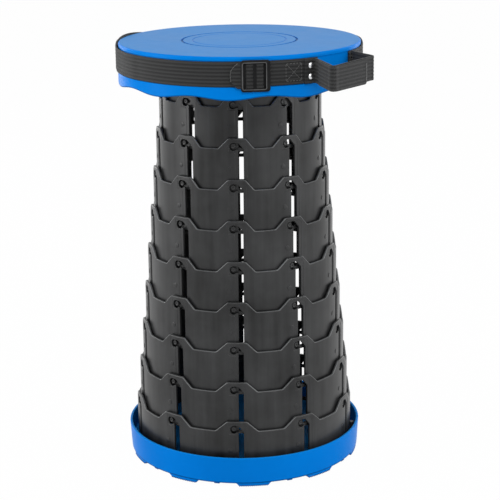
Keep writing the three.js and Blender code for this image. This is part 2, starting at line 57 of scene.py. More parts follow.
# Rings
RING_COUNT = 10
UNIT_COUNT = 10
UNIT_ANGLE = 360 / UNIT_COUNT
RING_WALL = 0.0026
RING_STEP = 0.004
FIRST_RING_RADIUS = 0.0816
RING_TURNS = (0.2, 0.15, 0.05, -0.4, -0.75, -0.9, -1.05, -1.3, -1.5, -1.65)
HUMP_RISE = 0.0106
HUMP_LEFT = (0.0126, 0.015)
HUMP_RIGHT = (0.0044, 0.0062)
HUMP_FOOT_LEFT = (0.0228, 0.0276)
HUMP_FOOT_RIGHT = (0.0126, 0.018)
HUMP_CORNER = 0.003
HUMP_SHOULDER = 0.0036
HUMP_FOOT = 0.0028
OUTER_ROUND = 0.0009
INNER_ROUND = 0.0003
ROUND_STEPS = 4
# Painted highlight along the rings' rounded top edges: its share on each row round the edge
RIM_HIGHLIGHT_SHARES = (0.0, 0.35, 1.0, 1.0, 0.8, 0.0, 0.0)
ROUND_SHARE = 0.3
# Painted highlight along the top edge: its share on the low edges and on the humps' tops, full on the slopes
LOW_RIM_HIGHLIGHT_SHARE = 0.5
HUMP_RIM_HIGHLIGHT_SHARE = 0.1

# Slot, notch and guide groove, from the slot's centre line and the ring's lower edge
SLOT_WIDTH = 0.0054
SLOT_CORNER = 0.0011
FIRST_SLOT_FOOT = 0.0145
DRAW_ANGLE = 90
DRAW_SHARE = 0.86
NOTCH_OFFSET = 0.0078
NOTCH_BELOW_TOP = 0.008
NOTCH_REACH = 0.0037
NOTCH_DROP = 0.001
NOTCH_CORNER = 0.0058
NOTCH_CORNER_DROP = 0.0068
NOTCH_ROUND = 0.0024
NOTCH_FOOT_ROUND = 0.0004
GUIDE_REACH = 0.0029
NOTCH_FOOT = NOTCH_DROP + math.sqrt(NOTCH_REACH ** 2 - GUIDE_REACH ** 2)
GUIDE_DEPTH = 0.0016
GUIDE_END = 0.0037
WINDOW_ROUND = 0.00035
LEDGE_DEPTH = 0.00022
LEDGE_SLOPE = 0.00025
LEDGE_MARGIN = 0.0034
LEDGE_NOTCH_MARGIN = 0.0014
LEDGE_FOOT = 0.0015
LEDGE_CORNER = 0.001

# Pins and the faint round mark beside each slot
PIN_RADIUS = 0.0024
PIN_HEIGHT = 0.0063
PIN_ROOT = 0.0005
PIN_REACH = 0.0027
PIN_EDGE = 0.0004
PIN_DISH_RADIUS = 0.0017
PIN_DISH_DEPTH = 0.0002
PIN_DIMPLE_RADIUS = 0.0007
PIN_DIMPLE_FLOOR_RADIUS = 0.00056
PIN_DIMPLE_DEPTH = 0.0006
MARK_OFFSET = -0.0118
MARK_HEIGHT = 0.0247
MARK_RADIUS = 0.0026
MARK_RISE = 0.0004

# Mesh fineness
GRID_ACROSS = 0.0024
GRID_UP = 0.005
EDGE_STEP = 0.0026
SEAM_STEP = 0.005
GRID_MARGIN = 0.0009
CORNER_TURN = math.radians(18)
WELD = 2e-6
TINY = 1e-9
SPLIT_SLACK = 1e-6
SHARP_ANGLE = math.radians(38)
ROUND_SEGMENTS = 240
SMALL_SEGMENTS = 32
STITCH_SEGMENTS = 8
PROFILE_STEP = 0.006
CURVE_STEPS = 40
CURVE_SPANS = (((0, 1), (1, 2), (2, 3)), ((0, 2), (1, 3)), ((1, 2),))
MITRE_LIMIT = 0.3

# Flange of the top ring and bosses of the lowest one
FLANGE_WALL = 0.0024
FLANGE_DROP = 0.012
FLANGE_REACH = 0.014
SCREW_COUNT = 5
SCREW_ANGLE = 16
BASE_SCREW_RADIUS = 0.119
SEAT_SCREW_RADIUS = 0.071
BASE_BOSS_RADIUS = 0.003
BASE_BOSS_HEIGHT = 0.0109
SEAT_BOSS_RADIUS = 0.005
SCREW_HEAD_RADIUS = 0.0028
SCREW_HEAD_HEIGHT = 0.0018
SCREW_RADIUS = 0.0013
SCREW_RECESS = 0.0009
RECESS_WIDTH = 0.0005
RECESS_MOUTH = 0.00075
THREAD_PITCH = 0.0011
CORE_SHARE = 0.8
HEAD_SHARES = ((0.75, 0), (0.93, 0.3), (1, 0.7), (1, 1))
THREAD_SHARES = ((CORE_SHARE, 0.3), (1, 0.6), (CORE_SHARE, 0.9))

# Seat
SEAT_PLATE = 0.0034
LIP_RADIUS = 0.1264
SKIRT_RADIUS = 0.1272
GROOVE_RADIUS = 0.1253
SEAT_WALL_INNER = 0.123
SEAT_DEPTH = 0.043
GROOVE_DROP = 0.0042
GROOVE_WIDTH = 0.0256
GROOVE_FOOT = -GROOVE_DROP - GROOVE_WIDTH
SKIRT_WAVE = 0.0037
SKIRT_LOBE_ANGLE = -4.9
RIM_ROUND = 0.0019
SKIRT_ROUND = 0.0009
SKIRT_TOP_ROUND = 0.00054
EDGE_LINE = 0.0017
# Share of painted shade in the seat's top grooves and on its skirt's rounded foot
EDGE_PAINTED_SHADE = 0.7
SEAT_INNER_ROUND = 0.002
GROOVE_ROUND = 0.0002
LIP_ROUND = 0.0003
TOP_GROOVE_ROUND = 0.0004
TOP_GROOVE_SLOPE = 0.0003
TOP_GROOVE_RADIUS = 0.061
TOP_GROOVE_WIDTH = 0.0022
TOP_GROOVE_DEPTH = 0.0013
TOP_LINE_RADIUS = 0.0495
TOP_LINE_WIDTH = 0.0014
TOP_LINE_DEPTH = 0.0005
SEAT_RIB_WALL = 0.002
SEAT_RIB_DEPTH = 0.009
SEAT_RIB_ENDS = (0.014, 0.058)

# Tray
TRAY_WALL = 0.0028
TRAY_RIM_RADIUS = 0.1267
TRAY_FOOT_RADIUS = 0.125
TRAY_EDGE_HEIGHT = 0.0038
TRAY_FLOOR = 0.0127
TRAY_FLOOR_WALL = 0.0028
TRAY_FLOOR_BOTTOM = TRAY_FLOOR - TRAY_FLOOR_WALL
TRAY_FLOOR_MIDDLE = TRAY_FLOOR - TRAY_FLOOR_WALL / 2
TRAY_HUB_RADIUS = 0.016
TRAY_RIM_ROUND = 0.0009
TRAY_HUB_ROUND = 0.0006
TRAY_CORNER = 0.001
TRAY_EDGE_ROUND = 0.0004
TRAY_FLOOR_ROUND = 0.002
TRAY_RIB_WALL = 0.0024
PAD_TOP_WIDTH = 0.038
PAD_FOOT_WIDTH = 0.031
PAD_DEPTH = 0.008
PAD_INSET = 0.0007
PAD_RADIUS = TRAY_FOOT_RADIUS - PAD_INSET
PAD_ROUND = 0.0015
PAD_EDGE = 0.0004
FIRST_PAD_ANGLE = 4.2
TOOTH_WIDTH = 0.0022
TOOTH_DEPTH = 0.0015
TOOTH_REACH = 0.0012
TOOTH_STOP_SHARES = ((0.1, 0), (0.5, 0), (0.65, 1), (0.95, 1))
# Share of the teeth's height that gets painted shade
TOOTH_SHADE_SHARE = 0.7
NUB_WIDTH = 0.006
NUB_DEPTH = 0.0012
NUB_ROUND = 0.0005
NUB_EDGE = 0.0003
NUB_REACH = 0.00196

# Webbing
WEB_WIDTH = 0.025
WEB_THICKNESS = 0.0018
WEB_RIBS = 7
WEB_RIB_RISE = 0.00028
WEB_EDGE = 0.0006
WEB_EDGE_SHARE = 0.7
RIB_STEPS = 8
YARN_PITCH = 0.0013
YARN_SLANT = 1.6
THREADS_PER_RIB = 3
STRAP_RADIUS = 0.1265
STRAP_ENDS = (60, 360 + 37)
STRAP_STEP = 1.5
STRAP_SWAYS = ((3, 0, 0.00018), (7, 40, 0.00009))
STRAP_LIFTS = ((250, 38, 0.0064, 0.0013), (100, 27, 0.0036, 0.0013), (285, 22, 0, 0.0007))
STRAP_LIFT_POWER = 30
LOOP_LIE = 0.1286
LOOP_OUTER = 0.1274
LOOP_ENDS = (29.5, 67)
LOOP_FLATS = (0.8, 2)
LOOP_CREASE = (34.3, 0.0028)
LOOP_CORNER = (32.2, 0.0402)
LOOP_TIP = (57.0, 0.0304)
LOOP_RETURN = (60.6, 0.0066)
LOOP_POINTS = 260
LOOP_SAG_SHARES = (0, 0.08, 0.33, 0.75, 0.93, 1)
LOOP_SAGS = (0, 0, 0.0026, 0.0012, 0, 0)
LOOP_CORNER_SHARES = (0.82, 0.1, 0.93)
OVERLAY_SHARES = (0.14, 0.648)
OVERLAY_DROP = 0.0016
OVERLAY_CORNER = 0.0035
OVERLAY_GAP = 0.0019
TAIL_ANGLES = (-4.1, 0.3)
TAIL_RADIUS = 0.1286
TAIL_STEP = 0.3
TAIL_TAPER = 0.0094
TAIL_ROUND = 0.0072
TAIL_FLAT_SHARE = 0.2
TAIL_ROUND_POWER = 1.9
# Painted highlight: a light bead along the tail's cut end, its radius, its steps and where it starts below
# the middle
TAIL_HIGHLIGHT_RADIUS = 0.0004
TAIL_HIGHLIGHT_STEPS = 18
TAIL_HIGHLIGHT_FOOT = -0.4
FRONT_RIVET_ANGLE = 32.6
REAR_RIVET_ANGLE = 64.2
RIVET_SPACING = 0.0108
RIVET_RADIUS = 0.0029
RIVET_HEIGHT = 0.0015
RIVET_SEAT = 0.1296
RIVET_TAIL_RADIUS = 0.0024
RIVET_TAIL_HEIGHT = 0.0008
DOME_STEPS = 6

# Depths of the materials' bumps
STREAK_DEPTH = 0.0001
RIPPLE_DEPTH = 0.00003
WEAVE_DEPTH = 0.00022
FUZZ_DEPTH = 0.00006
BLACK_GRAIN_DEPTH = 0.000012
BLUE_GRAIN_DEPTH = 0.00001
GLOSS_GRAIN_DEPTH = 0.00001
STEEL_GRAIN_DEPTH = 0.000008

# Stitches
STITCH_LENGTH = 0.0022
STITCH_PITCH = 0.0031
STITCH_RADIUS = 0.00033
STITCH_BOX = (20.6, 28.2)
STITCH_BOX_HEIGHT = 0.017
STITCH_LIFT = 0.00022
TACK_HEIGHT = 0.0175
TACK_PITCH = 0.0007
TACK_STEPS = 4

# Slide adjuster
ADJUSTER_ANGLE = 6.8
ADJUSTER_WIDTH = 0.0291
ADJUSTER_HEIGHT = 0.0312
ADJUSTER_CORNER = 0.003
ADJUSTER_LEFT_BAR = 0.0025
ADJUSTER_RIGHT_BAR = 0.0049
ADJUSTER_END_BAR = 0.0034
ADJUSTER_WINDOW_CORNER = 0.0008
ADJUSTER_BACK = 0.1277
ADJUSTER_THICKNESS = 0.0028
ADJUSTER_DROP = 0.0016
# Rows of (inset, depth, painted highlight share) for the frame's rim and the bead round its window; the
# bead's crest gets a painted highlight line
ADJUSTER_RIM = ((0.0004, 0.0013, 0), (0.0001, 0.0016, 0), (0, 0.0019, 0))
ADJUSTER_BEAD = ((0.0015, 0.0004, 0), (0.0011, 0.0001, 0.6), (0.0009, 0, 1.0), (0.0007, 0.0001, 0.6),
                 (0.0003, 0.0005, 0), (0, 0.0009, 0))
MIDDLE_BAR_RIM = ((0.0002, 0.0008, 0), (0, 0.001, 0), (0, 0.0018, 0))
# Dark plates in the side gaps of the adjuster's window, standing in for the shade there
SHADE_PLATE_RIM = ((0, 0.0026, 0), (0, 0.0029, 0))
# The middle bar and the two shade plates: (left, right) ends and rows
ADJUSTER_BARS = (((-0.0024, 0.0008), MIDDLE_BAR_RIM), ((-0.0125, -0.0096), SHADE_PLATE_RIM),
                 ((0.0072, 0.0101), SHADE_PLATE_RIM))
ADJUSTER_WEB = (-0.0093, -0.0087, 0.0068, 0.0072)
ADJUSTER_WEB_RISE = 0.0016

# Surroundings
AMBIENT = 0.4
AMBIENT_COLOR = (0.9, 0.95, 1)
FLOOR_RADIUS = 6
FLOOR_CORNERS = 96
FLOOR_COLOR = (0.7, 0.7, 0.7)
FLOOR_ROUGHNESS = 0.9
FLOOR_GLOW_SHARE = 0.985

# Name, place, height of the aim on the stool's axis, size and watts
LIGHTS = (
    ("left_panel", (-1.6, -0.35, 0.75), 0.25, (0.7, 1.7), 19),
    ("right_panel", (1.6, -0.5, 0.8), 0.25, (0.6, 1.6), 12),
    ("front_panel", (1.1, -1.5, 0.7), 0.25, (0.3, 1.3), 3),
    ("top_panel", (0.1, 0.1, 1.9), 0.3, (1.4, 1.4), 3),
    ("high_panel", (0.2, -1.3, 1.7), 0.25, (1.2, 0.4), 12),
    ("left_edge_panel", (-1.3, 1.6, 0.6), 0.25, (0.8, 1.4), 9),
    ("right_edge_panel", (1.3, 1.6, 0.6), 0.25, (0.8, 1.4), 6),
)


def node_floor(node):
    """Height of the lowest point of a CAD node."""
    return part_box(node)[0].z


def node_top(node):
    """Height of the highest point of a CAD node."""
    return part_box(node)[1].z


SEAT_TOP = node_top("seat_cover")
TRAY_TOP = node_top("base_tray")
RING_HEIGHT = node_top("ring_05") - node_floor("ring_05")
STRAP_MIDDLE = (node_floor("strap_band") + node_top("strap_band")) / 2
NOTCH_HEIGHT = RING_HEIGHT - NOTCH_BELOW_TOP
FIRST_SLOT_TOP = RING_HEIGHT - FLANGE_DROP - FLANGE_WALL - SLOT_WIDTH
SCREW_LENGTH = node_top("base_screw_1") - node_floor("base_screw_1")
SCREW_ANGLES = [SCREW_ANGLE + i * 360 / SCREW_COUNT for i in range(SCREW_COUNT)]


def ring_radius(ring):
    return FIRST_RING_RADIUS + (ring - 1) * RING_STEP


def slot_angle(ring, slot):
    """Where a ring's slot faces: the rings hang in each other's notches with a slight turn."""
    return slot * UNIT_ANGLE + RING_TURNS[ring - 1]


def graded(ends, ring):
    """A size that grows evenly from the second ring to the lowest one."""
    share = (ring - 2) / (RING_COUNT - 2)
    return ends[0] + (ends[1] - ends[0]) * share


def plan_point(angle, radius, height=0.0):
    turn = math.radians(angle)
    return Vector((radius * math.sin(turn), -radius * math.cos(turn), height))


def arc(centre, radius, start, end):
    """Points of an arc, angles in radians from +X, from start to end."""
    steps = max(2, round(abs(end - start) / CORNER_TURN))
    turns = [start + (end - start) * i / steps for i in range(steps + 1)]
    return [Vector((centre[0] + radius * math.cos(t), centre[1] + radius * math.sin(t))) for t in turns]


def filleted(corners, closed=True):
    """Outline through (x, y, radius) corners, each rounded by its radius."""
    points = []
    count = len(corners)
    for i, (x, y, radius) in enumerate(corners):
        here = Vector((x, y))
        is_end = not closed and i in (0, count - 1)
        if radius == 0 or is_end:
            points.append(here)
            continue
        before = (Vector(corners[i - 1][:2]) - here).normalized()
        after = (Vector(corners[(i + 1) % count][:2]) - here).normalized()
        opening = before.angle(after)
        reach = radius / math.tan(opening / 2)
        middle = here + (before + after).normalized() * (radius / math.sin(opening / 2))
        first = here + before * reach - middle
        last = here + after * reach - middle
        start = math.atan2(first.y, first.x)
        turn = math.atan2(last.y, last.x) - start
        turn = (turn + math.pi) % (2 * math.pi) - math.pi
        points += arc(middle, radius, start, start + turn)
    return points


def box_outline(left, right, low, high, radius):
    return filleted([(left, low, radius), (right, low, radius), (right, high, radius), (left, high, radius)])


def spaced(points, step, closed=False):
    """The same outline with its long edges split."""
    result = []
    count = len(points)
    for i in range(count if closed else count - 1):
        a = points[i]
        b = points[(i + 1) % count]
        parts = max(1, math.ceil((b - a).length / step - SPLIT_SLACK))
        result += [a.lerp(b, j / parts) for j in range(parts)]
    if not closed:
        result.append(points[-1])
    return result


def shifted(points, distance, closed=False):
    """The outline moved sideways, to its right, with mitred corners."""
    result = []
    count = len(points)
    for i, here in enumerate(points):
        ways = []
        if closed or i > 0:
            ways.append((here - points[i - 1]).normalized())
        if closed or i < count - 1:
            ways.append((points[(i + 1) % count] - here).normalized())
        rights = [Vector((way.y, -way.x)) for way in ways]
        if len(rights) == 1:
            result.append(here + rights[0] * distance)
            continue
        mitre = (rights[0] + rights[1]).normalized()
        result.append(here + mitre * (distance / max(MITRE_LIMIT, mitre.dot(rights[0]))))
    return result


def rim_highlight(points):
    """How strong the painted highlight on a top edge is at each point: most on its slopes, least on its
    humps.
    """
    slopes = [abs((b - a).normalized().y) for a, b in zip(points, points[1:])]
    shares = []
    for point, slope in zip(points, map(max, slopes[:1] + slopes, slopes + slopes[-1:])):
        level = HUMP_RIM_HIGHLIGHT_SHARE + (LOW_RIM_HIGHLIGHT_SHARE - HUMP_RIM_HIGHLIGHT_SHARE) * (RING_HEIGHT - point.y) / HUMP_RISE
        shares.append(level + (1 - level) * slope)
    return shares


def inside(points, outline):
    """True for each of the points that lies inside the closed outline."""
    x = points[:, 0][:, None]
    y = points[:, 1][:, None]
    a = np.array([p[:2] for p in outline])
    b = np.roll(a, -1, axis=0)
    crosses = (a[:, 1] > y) != (b[:, 1] > y)
    rise = np.where(b[:, 1] == a[:, 1], TINY, b[:, 1] - a[:, 1])
    meets = x < (b[:, 0] - a[:, 0]) * (y - a[:, 1]) / rise + a[:, 0]
    return (crosses & meets).sum(axis=1) % 2 == 1


def distance_to(points, outline):
    """Distance of each point from the closed outline."""
    a = np.array([p[:2] for p in outline])
    edge = np.roll(a, -1, axis=0) - a
    to_point = points[:, None, :] - a[None]
    share = np.clip((to_point * edge).sum(2) / np.maximum((edge ** 2).sum(1), TINY ** 2), 0, 1)
    return np.sqrt(((to_point - share[..., None] * edge) ** 2).sum(2)).min(axis=1)


class Shell:
    """Points and faces of a mesh while it is made. place(x, y, depth) puts flat outlines in space."""

    def __init__(self, place=lambda x, y, depth: (x, y, depth)):
        self.place = place
        self.points = []
        self.faces = []
        self.painted_light = []

    def row(self, points, painted_light=0.0):
        """Adds points, with a share of painted light or shade from 0 to 1, or one share for each point."""
        first = len(self.points)
        self.points += [tuple(p) for p in points]
        self.painted_light += painted_light if isinstance(painted_light, list) else [painted_light] * len(points)
        return list(range(first, len(self.points)))

    def flat_row(self, outline, depth, painted_light=0.0):
        return self.row([self.place(p[0], p[1], depth) for p in outline], painted_light)

    def bridge(self, low, high, closed=True):
        """Faces between two rows, facing right of the first row when seen with the second one ahead."""
        count = len(low)
        for i in range(count if closed else count - 1):
            j = (i + 1) % count
            self.faces.append((low[i], low[j], high[j], high[i]))

    def band(self, lines, closed=True):
        """Rows through (outline, depth, painted light share) lines, joined by faces. Returns (outline,
        indices) pairs.
        """
        rows = [(outline, self.flat_row(outline, depth, painted_light)) for outline, depth, painted_light in lines]
        for (_, near), (_, far) in zip(rows, rows[1:]):
            if closed:
                self.bridge(far, near)
            else:
                self.bridge(near, far, closed=False)
        return rows

    def fill(self, loops, depth=0.0, flip=False, grid=None):
        """Fills the first closed loop, less the others. Loops are (outline, indices)."""
        flat = [Vector(p[:2]) for points, _ in loops for p in points]
        places = [index for _, indices in loops for index in indices]
        edges = []
        first = 0
        for points, _ in loops:
            count = len(points)
            edges += [(first + i, first + (i + 1) % count) for i in range(count)]
            first += count
        if grid is not None:
            free = grid[self.is_free(grid, loops)]
            places += self.flat_row(free, depth)
            flat += [Vector(p) for p in free.tolist()]
        out = delaunay_2d_cdt(flat, edges, [], 0, TINY, True)
        sources = [origin[0] for origin in out[3]]
        corners = np.array([[list(out[0][i]) for i in face] for face in out[2]])
        centres = corners.mean(axis=1)
        for face, kept in zip(out[2], self.is_within(centres, loops)):
            if kept:
                triangle = [places[sources[i]] for i in face]
                self.faces.append(tuple(reversed(triangle) if flip else triangle))

    @staticmethod
    def is_within(points, loops):
        within = inside(points, loops[0][0])
        for outline, _ in loops[1:]:
            within &= ~inside(points, outline)
        return within

    def is_free(self, grid, loops):
        free = self.is_within(grid, loops)
        for outline, _ in loops:
            free &= distance_to(grid, outline) > GRID_MARGIN
        return free

    def add(self, other, matrix=None):
        first = len(self.points)
        self.points += other.points if matrix is None else [tuple(matrix @ Vector(p)) for p in other.points]
        self.painted_light += other.painted_light
        self.faces += [tuple(first + i for i in face) for face in other.faces]
        return self


def turned(profile, segments=ROUND_SEGMENTS, closed=False):
    """A (radius, height) profile turned round the Z axis. It runs upwards on the outside."""
    shell = Shell()
    rows = []
    for radius, height in profile:
        if radius < TINY:
            rows.append(shell.row([(0, 0, height)]) * segments)
        else:
            rows.append(shell.row([plan_point(360 * i / segments, radius, height) for i in range(segments)]))
    pairs = list(zip(rows, rows[1:]))
    if closed:
        pairs.append((rows[-1], rows[0]))
    for low, high in pairs:
        shell.bridge(low, high)
    shell.faces = [tuple(dict.fromkeys(face)) for face in shell.faces]
    shell.faces = [face for face in shell.faces if len(face) > 2]
    return shell


def outwards(angle, radius, height):
    """Matrix that stands a turned form on a cylinder, its own Z axis pointing outwards."""
    turn = math.radians(angle)
    out = Vector((math.sin(turn), -math.cos(turn), 0))
    side = Vector((math.cos(turn), math.sin(turn), 0))
    matrix = Matrix((side, Vector((0, 0, 1)), out)).transposed().to_4x4()
    matrix.translation = plan_point(angle, radius, height)
    return matrix


def upright(angle, radius, height):
    """Matrix that stands a turned form on end at a plan place."""
    place = Matrix.Translation(plan_point(angle, radius, height))
    return place @ Matrix.Rotation(math.radians(angle), 4, "Z")


# Materials

class Value:
    """A number in a material. Its sums and products are Math nodes."""

    def __init__(self, tree, socket):
        self.tree = tree
        self.socket = socket

    def calc(self, operation, other=None):
        made = node(self.tree, "ShaderNodeMath", operation=operation)
        for end, value in zip(made.inputs, (self, other)):
            if isinstance(value, Value):
                self.tree.links.new(value.socket, end)
            elif value is not None:
                end.default_value = value
        return Value(self.tree, made.outputs[0])

    def __add__(self, other):
        return self.calc("ADD", other)

    def __mul__(self, other):
        return self.calc("MULTIPLY", other)


def node(tree, kind, inputs=(), **settings):
    """A new node with its settings, and with numbers for some of its inputs."""
    made = tree.nodes.new(kind)
    for name, value in settings.items():
        setattr(made, name, value)
    for name, value in inputs:
        made.inputs[name].default_value = value
    return made


def material(name, color, roughness, **sockets):
    made = bpy.data.materials.new(name)
    made.use_nodes = True
    made.diffuse_color = (*color, 1)
    inputs = made.node_tree.nodes["Principled BSDF"].inputs
    inputs["Base Color"].default_value = (*color, 1)
    inputs["Roughness"].default_value = roughness
    for socket, value in sockets.items():
        inputs[socket.replace("_", " ")].default_value = value
    return made, made.node_tree


def noise(tree, scale, detail, roughness, stretch=(1, 1, 1)):
    """Noise over the object's own places, stretched by a scale on each axis."""
    made = node(tree, "ShaderNodeTexNoise", (("Scale", scale), ("Detail", detail), ("Roughness", roughness)))
    mapping = node(tree, "ShaderNodeMapping", [("Scale", stretch)])
    tree.links.new(node(tree, "ShaderNodeTexCoord").outputs["Object"], mapping.inputs["Vector"])
    tree.links.new(mapping.outputs["Vector"], made.inputs["Vector"])
    return Value(tree, made.outputs["Fac"])


def ramp(value, low, high, low_color, high_color):
    made = node(value.tree, "ShaderNodeValToRGB")
    for stop, position, color in zip(made.color_ramp.elements, (low, high), (low_color, high_color)):
        stop.position = position
        stop.color = (*color, 1)
    value.tree.links.new(value.socket, made.inputs["Fac"])
    return made.outputs["Color"]


def spread(value, low, high, start=0, end=1):
    """Maps start to end onto low to high."""
    ends = (("From Min", start), ("From Max", end), ("To Min", low), ("To Max", high))
    made = node(value.tree, "ShaderNodeMapRange", ends)
    value.tree.links.new(value.socket, made.inputs["Value"])
    return Value(value.tree, made.outputs["Result"])


def mixed(share, first, second):
    """Mixes a colour socket with another one, or with three numbers."""
    made = node(share.tree, "ShaderNodeMix", data_type="RGBA")
    share.tree.links.new(share.socket, made.inputs["Factor"])
    share.tree.links.new(first, made.inputs["A"])
    if isinstance(second, tuple):
        made.inputs["B"].default_value = (*second, 1)
    else:
        share.tree.links.new(second, made.inputs["B"])
    return made.outputs["Result"]


def with_painted_light(color, cloud, other):
    """Mixes another colour in where the mesh marks painted highlight or painted shade, broken up by the
    cloud.
    """
    painted_light = node(cloud.tree, "ShaderNodeAttribute", attribute_name="painted_light")
    return mixed(Value(cloud.tree, painted_light.outputs["Fac"]) * spread(cloud, 0.3, 1.0), color, other)


def dressed(made, color, roughness, *bumps):
    """Links a colour, a roughness and (height, depth in metres) bumps to the material's shader."""
    tree = made.node_tree
    inputs = tree.nodes["Principled BSDF"].inputs
    tree.links.new(color, inputs["Base Color"])
    if roughness is not None:
        tree.links.new(roughness.socket, inputs["Roughness"])
    normal = None
    for height, depth in bumps:
        bump = node(tree, "ShaderNodeBump", [("Distance", depth)])
        tree.links.new(height.socket, bump.inputs["Height"])
        if normal is not None:
            tree.links.new(normal, bump.inputs["Normal"])
        normal = bump.outputs["Normal"]
    tree.links.new(normal, inputs["Normal"])
    return made


def black_plastic():
    made, tree = material("black_plastic", (0.013, 0.0135, 0.0138), 0.36, Specular_IOR_Level=0.34)
    streaks = noise(tree, 70, 3, 0.5, (1.6, 1.6, 0.1))
    cloud = noise(tree, 14, 4, 0.6)
    grain = noise(tree, 2600, 2, 0.5)
    tone = streaks * 0.35 + cloud * 0.65
    color = ramp(tone, 0.36, 0.64, (0.004, 0.0041, 0.0043), (0.031, 0.0315, 0.032))
    # Painted highlight: a light grey along the rings' rounded top edges
    color = with_painted_light(color, cloud, (0.25, 0.254, 0.257))
    return dressed(made, color, spread(tone, 0.24, 0.46), (streaks, STREAK_DEPTH), (grain, BLACK_GRAIN_DEPTH))


def blue_plastic():
    """Glossy blue, with a painted reflection on faces that look upwards and painted shade where the mesh
    marks it.
    """
    made, tree = material("blue_plastic", (0.0, 0.18, 0.63), 0.3, Specular_IOR_Level=0.02)
    cloud = noise(tree, 9, 5, 0.6)
    fine = noise(tree, 90, 3, 0.55)
    grain = noise(tree, 2200, 2, 0.5)
    bright = ramp(cloud, 0.32, 0.7, (0.0, 0.175, 0.61), (0.0, 0.2, 0.68))
    # Painted reflection: a greener, paler blue on faces that look upwards
    painted_veil = ramp(cloud, 0.32, 0.7, (0.004, 0.185, 0.51), (0.01, 0.212, 0.57))
    facing = node(tree, "ShaderNodeSeparateXYZ")
    tree.links.new(node(tree, "ShaderNodeTexCoord").outputs["Normal"], facing.inputs["Vector"])
    upward = spread(Value(tree, facing.outputs["Z"]), 0, 1, 0.9, 0.99)
    # Painted shade: a dark navy where the mesh marks it, on grooves, feet, teeth and nubs
    color = with_painted_light(mixed(upward, bright, painted_veil), cloud, (0, 0.01, 0.035))
    roughness = spread(cloud * 0.6 + fine * 0.4, 0.22, 0.4)
    return dressed(made, color, roughness, (fine, RIPPLE_DEPTH), (grain, BLUE_GRAIN_DEPTH))


def webbing():
    """Woven black tape: ribs lengthwise, with short slanted yarns across them, and painted shade in the
    grooves between the ribs.
    """
    made, tree = material("webbing", (0.03, 0.03, 0.03), 0.85, Specular_IOR_Level=0.25,
                          Sheen_Weight=0.14, Sheen_Roughness=0.5)
    parts = node(tree, "ShaderNodeSeparateXYZ")
    tree.links.new(node(tree, "ShaderNodeUVMap", uv_map="weave").outputs["UV"], parts.inputs["Vector"])
    along, up = (Value(tree, parts.outputs[axis]) for axis in "XY")
    rib_turn = 2 * math.pi * WEB_RIBS / WEB_WIDTH
    across = up * rib_turn
    yarn = (along * (2 * math.pi / YARN_PITCH) + across.calc("SINE") * YARN_SLANT).calc("SINE")
    threads = (across * THREADS_PER_RIB).calc("SINE")
    relief = yarn * 0.3 + threads * 0.2 + 0.5
    # Painted shade: 0 in the grooves between the ribs and 2 on their crests, so the grooves come out darker
    rib_groove_shading = ((up + WEB_WIDTH / 2) * rib_turn).calc("COSINE") * -1 + 1
    fuzz = noise(tree, 1500, 3, 0.6)
    cloud = noise(tree, 40, 4, 0.6)
    tone = relief * 0.3 + fuzz * 0.2 + cloud * 0.15 + rib_groove_shading * 0.25
    color = ramp(tone, 0.2, 0.9, (0.004, 0.004, 0.0042), (0.034, 0.034, 0.034))
    return dressed(made, color, spread(fuzz, 0.75, 0.95), (relief, WEAVE_DEPTH), (fuzz, FUZZ_DEPTH))


def black_gloss():
    made, tree = material("black_gloss", (0.012, 0.012, 0.0125), 0.2, Specular_IOR_Level=0.04)
    cloud = noise(tree, 120, 4, 0.6)
    color = ramp(cloud, 0.3, 0.75, (0.01, 0.01, 0.0104), (0.016, 0.016, 0.0164))
    # Painted highlight: a grey along the crest of the adjuster's bead
    color = with_painted_light(color, cloud, (0.2, 0.2, 0.2))
    return dressed(made, color, spread(cloud, 0.16, 0.3), (noise(tree, 1400, 2, 0.5), GLOSS_GRAIN_DEPTH))


def steel():
    made, tree = material("steel", (0.72, 0.73, 0.75), 0.28, Metallic=1.0)
    cloud = noise(tree, 500, 4, 0.6)
    color = ramp(cloud, 0.3, 0.75, (0.6, 0.61, 0.63), (0.78, 0.79, 0.8))
    return dressed(made, color, spread(cloud, 0.2, 0.4), (noise(tree, 3000, 2, 0.5), STEEL_GRAIN_DEPTH))


def thread():
    made, tree = material("thread", (0.02, 0.02, 0.02), 0.6)
    cloud = noise(tree, 900, 3, 0.6)
    color = ramp(cloud, 0.3, 0.75, (0.05, 0.05, 0.05), (0.14, 0.14, 0.138))
    return dressed(made, color, None, (cloud, FUZZ_DEPTH))


LOOKS = {make.__name__: make() for make in (black_plastic, blue_plastic, webbing, black_gloss, steel, thread)}
SLOTS = {look: look for look in LOOKS}
SLOTS["thread"] = "webbing"


def piece(name, shell, look, body, replaced=(), weave=None):
    """A named mesh that rides on a body and stands for CAD nodes."""
    mesh = bpy.data.meshes.new(name)
    mesh.from_pydata(shell.points, [], shell.faces)
    mesh.validate()
    mesh.update()
    if weave is not None:
        layer = mesh.uv_layers.new(name="weave")
        corners = np.zeros(len(mesh.loops), dtype=np.int32)
        mesh.loops.foreach_get("vertex_index", corners)
        layer.data.foreach_set("uv", np.array(weave, dtype=np.float32)[corners].ravel())
    # Shares of painted highlight and painted shade, which the materials read
    if any(shell.painted_light):
        mesh.attributes.new("painted_light", "FLOAT", "POINT").data.foreach_set("value", shell.painted_light)
    mesh.shade_smooth()
    mesh.set_sharp_from_angle(angle=SHARP_ANGLE)
    mesh.materials.append(LOOKS[look])
    made = bpy.data.objects.new(name, mesh)
    bpy.context.scene.collection.objects.link(made)
    made.modifiers.new("even_normals", "WEIGHTED_NORMAL").keep_sharp = True
    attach(made, body)
    if replaced:
        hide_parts(*replaced)


# Rings

